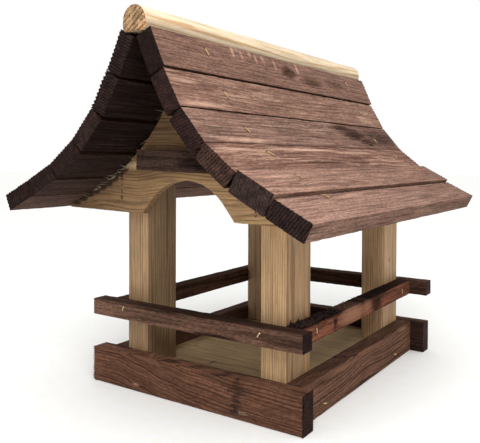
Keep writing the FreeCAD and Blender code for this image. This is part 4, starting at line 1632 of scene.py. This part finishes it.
def photo_camera():
    """The camera that sees the piece as the photo does."""
    data = bpy.data.cameras.new("camera")
    data.sensor_width = 36.0
    data.lens = CAMERA_LENS
    data.shift_x, data.shift_y = CAMERA_SHIFT
    data.clip_end = 50.0
    camera = bpy.data.objects.new("camera", data)
    bpy.context.collection.objects.link(camera)
    forward = Vector(
        (
            -math.sin(CAMERA_TURN) * math.cos(CAMERA_TILT),
            math.cos(CAMERA_TURN) * math.cos(CAMERA_TILT),
            math.sin(CAMERA_TILT),
        )
    )
    level = Vector((math.cos(CAMERA_TURN), math.sin(CAMERA_TURN), 0.0))
    upright = level.cross(forward)
    right = level * math.cos(CAMERA_ROLL) + upright * math.sin(CAMERA_ROLL)
    up = upright * math.cos(CAMERA_ROLL) - level * math.sin(CAMERA_ROLL)
    turn = Matrix((right, up, -forward)).transposed().to_4x4()
    camera.matrix_world = Matrix.Translation(CAMERA_PLACE) @ turn
    return camera


def area_light(name, place, target, wide, power):
    """A soft square light that faces its target."""
    data = bpy.data.lights.new(name, "AREA")
    data.shape = "SQUARE"
    data.size = wide
    data.energy = power
    lamp = bpy.data.objects.new(name, data)
    bpy.context.collection.objects.link(lamp)
    lamp.location = place
    lamp.rotation_euler = (Vector(target) - Vector(place)).to_track_quat("-Z", "Y").to_euler()


def set_studio_light(scene):
    """Soft light from a bright ceiling and dimmer walls, and one soft lamp in front."""
    world = bpy.data.worlds.new("studio")
    world.use_nodes = True
    tree = world.node_tree
    tree.nodes.clear()
    direction = add(tree, "ShaderNodeTexCoord", None, "Generated")
    height = add(tree, "ShaderNodeSeparateXYZ", {"Vector": direction}, "Z")
    strength = add(tree, "ShaderNodeMapRange", {"Value": height, "To Min": 0.2, "To Max": 1.5})
    white = (1.0, 1.0, 1.0, 1.0)
    room = add(tree, "ShaderNodeBackground", {"Color": white, "Strength": strength})
    backdrop = add(tree, "ShaderNodeBackground", {"Color": white, "Strength": 1.0})
    seen = add(tree, "ShaderNodeLightPath", None, "Is Camera Ray")
    both = add(tree, "ShaderNodeMixShader", {0: seen, 1: room, 2: backdrop})
    add(tree, "ShaderNodeOutputWorld", {"Surface": both})
    scene.world = world
    scene.view_settings.view_transform = "Standard"
    area_light("lamp_front", place=(0.64, -0.74, 0.95), target=(0, 0, 0.18), wide=0.6, power=9)


class BIRDTABLE_OT_stage(bpy.types.Operator):
    """Set up the pale floor, the studio light and the camera"""

    bl_idname = "birdtable.stage"
    bl_label = "Stage"

    def execute(self, context):
        scene = context.scene
        mesh = bpy.data.meshes.new("studio_floor")
        corners = [(x * FLOOR_HALF, y * FLOOR_HALF, 0) for x, y in SQUARE]
        mesh.from_pydata(corners, [], [(0, 1, 2, 3)])
        floor = bpy.data.objects.new("studio_floor", mesh)
        context.collection.objects.link(floor)
        mesh.materials.append(material("matt_white_paint"))
        floor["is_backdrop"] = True

        scene.camera = photo_camera()
        set_studio_light(scene)
        return {"FINISHED"}


class BIRDTABLE_PT_panel(bpy.types.Panel):
    """Sizes, colours and pieces of the bird table"""

    bl_idname = "BIRDTABLE_PT_panel"
    bl_label = "Bird table"
    bl_space_type = "VIEW_3D"
    bl_region_type = "UI"
    bl_category = "Bird table"

    def draw(self, context):
        layout = self.layout
        for group in (context.scene.timber_sizes, context.scene.timber_colours):
            box = layout.box()
            for name in group.bl_rna.properties.keys():
                if name not in ("rna_type", "name"):
                    box.prop(group, name)
        for operator in OPERATORS:
            layout.operator(operator.bl_idname)


OPERATORS = (
    BIRDTABLE_OT_slats,
    BIRDTABLE_OT_tray,
    BIRDTABLE_OT_posts,
    BIRDTABLE_OT_rails,
    BIRDTABLE_OT_gables,
    BIRDTABLE_OT_ridge_pole,
    BIRDTABLE_OT_staples,
    BIRDTABLE_OT_torn_fibre,
    BIRDTABLE_OT_stage,
)
CLASSES = (TimberSizes, TimberColours, *OPERATORS, BIRDTABLE_PT_panel)


def register():
    """Give Blender the add-on's properties, operators and panel."""
    for item in CLASSES:
        bpy.utils.register_class(item)
    bpy.types.Scene.timber_sizes = bpy.props.PointerProperty(type=TimberSizes)
    bpy.types.Scene.timber_colours = bpy.props.PointerProperty(type=TimberColours)


def unregister():
    """Take them out again."""
    del bpy.types.Scene.timber_sizes
    del bpy.types.Scene.timber_colours
    for item in reversed(CLASSES):
        bpy.utils.unregister_class(item)


def main():
    """Build every piece and the stage, and measure the sizes of the CAD and visual models."""
    register()
    bpy.ops.birdtable.slats()
    bpy.ops.birdtable.tray()
    bpy.ops.birdtable.posts()
    bpy.ops.birdtable.rails()
    bpy.ops.birdtable.gables()
    bpy.ops.birdtable.ridge_pole()
    bpy.ops.birdtable.staples()
    bpy.ops.birdtable.torn_fibre()
    bpy.ops.birdtable.stage()
    boxes = {"cad": CAD_BOX, "visual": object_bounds()}
    plain = {name: [list(corner) for corner in box] for name, box in boxes.items()}


if __name__ == "__main__":
    main()
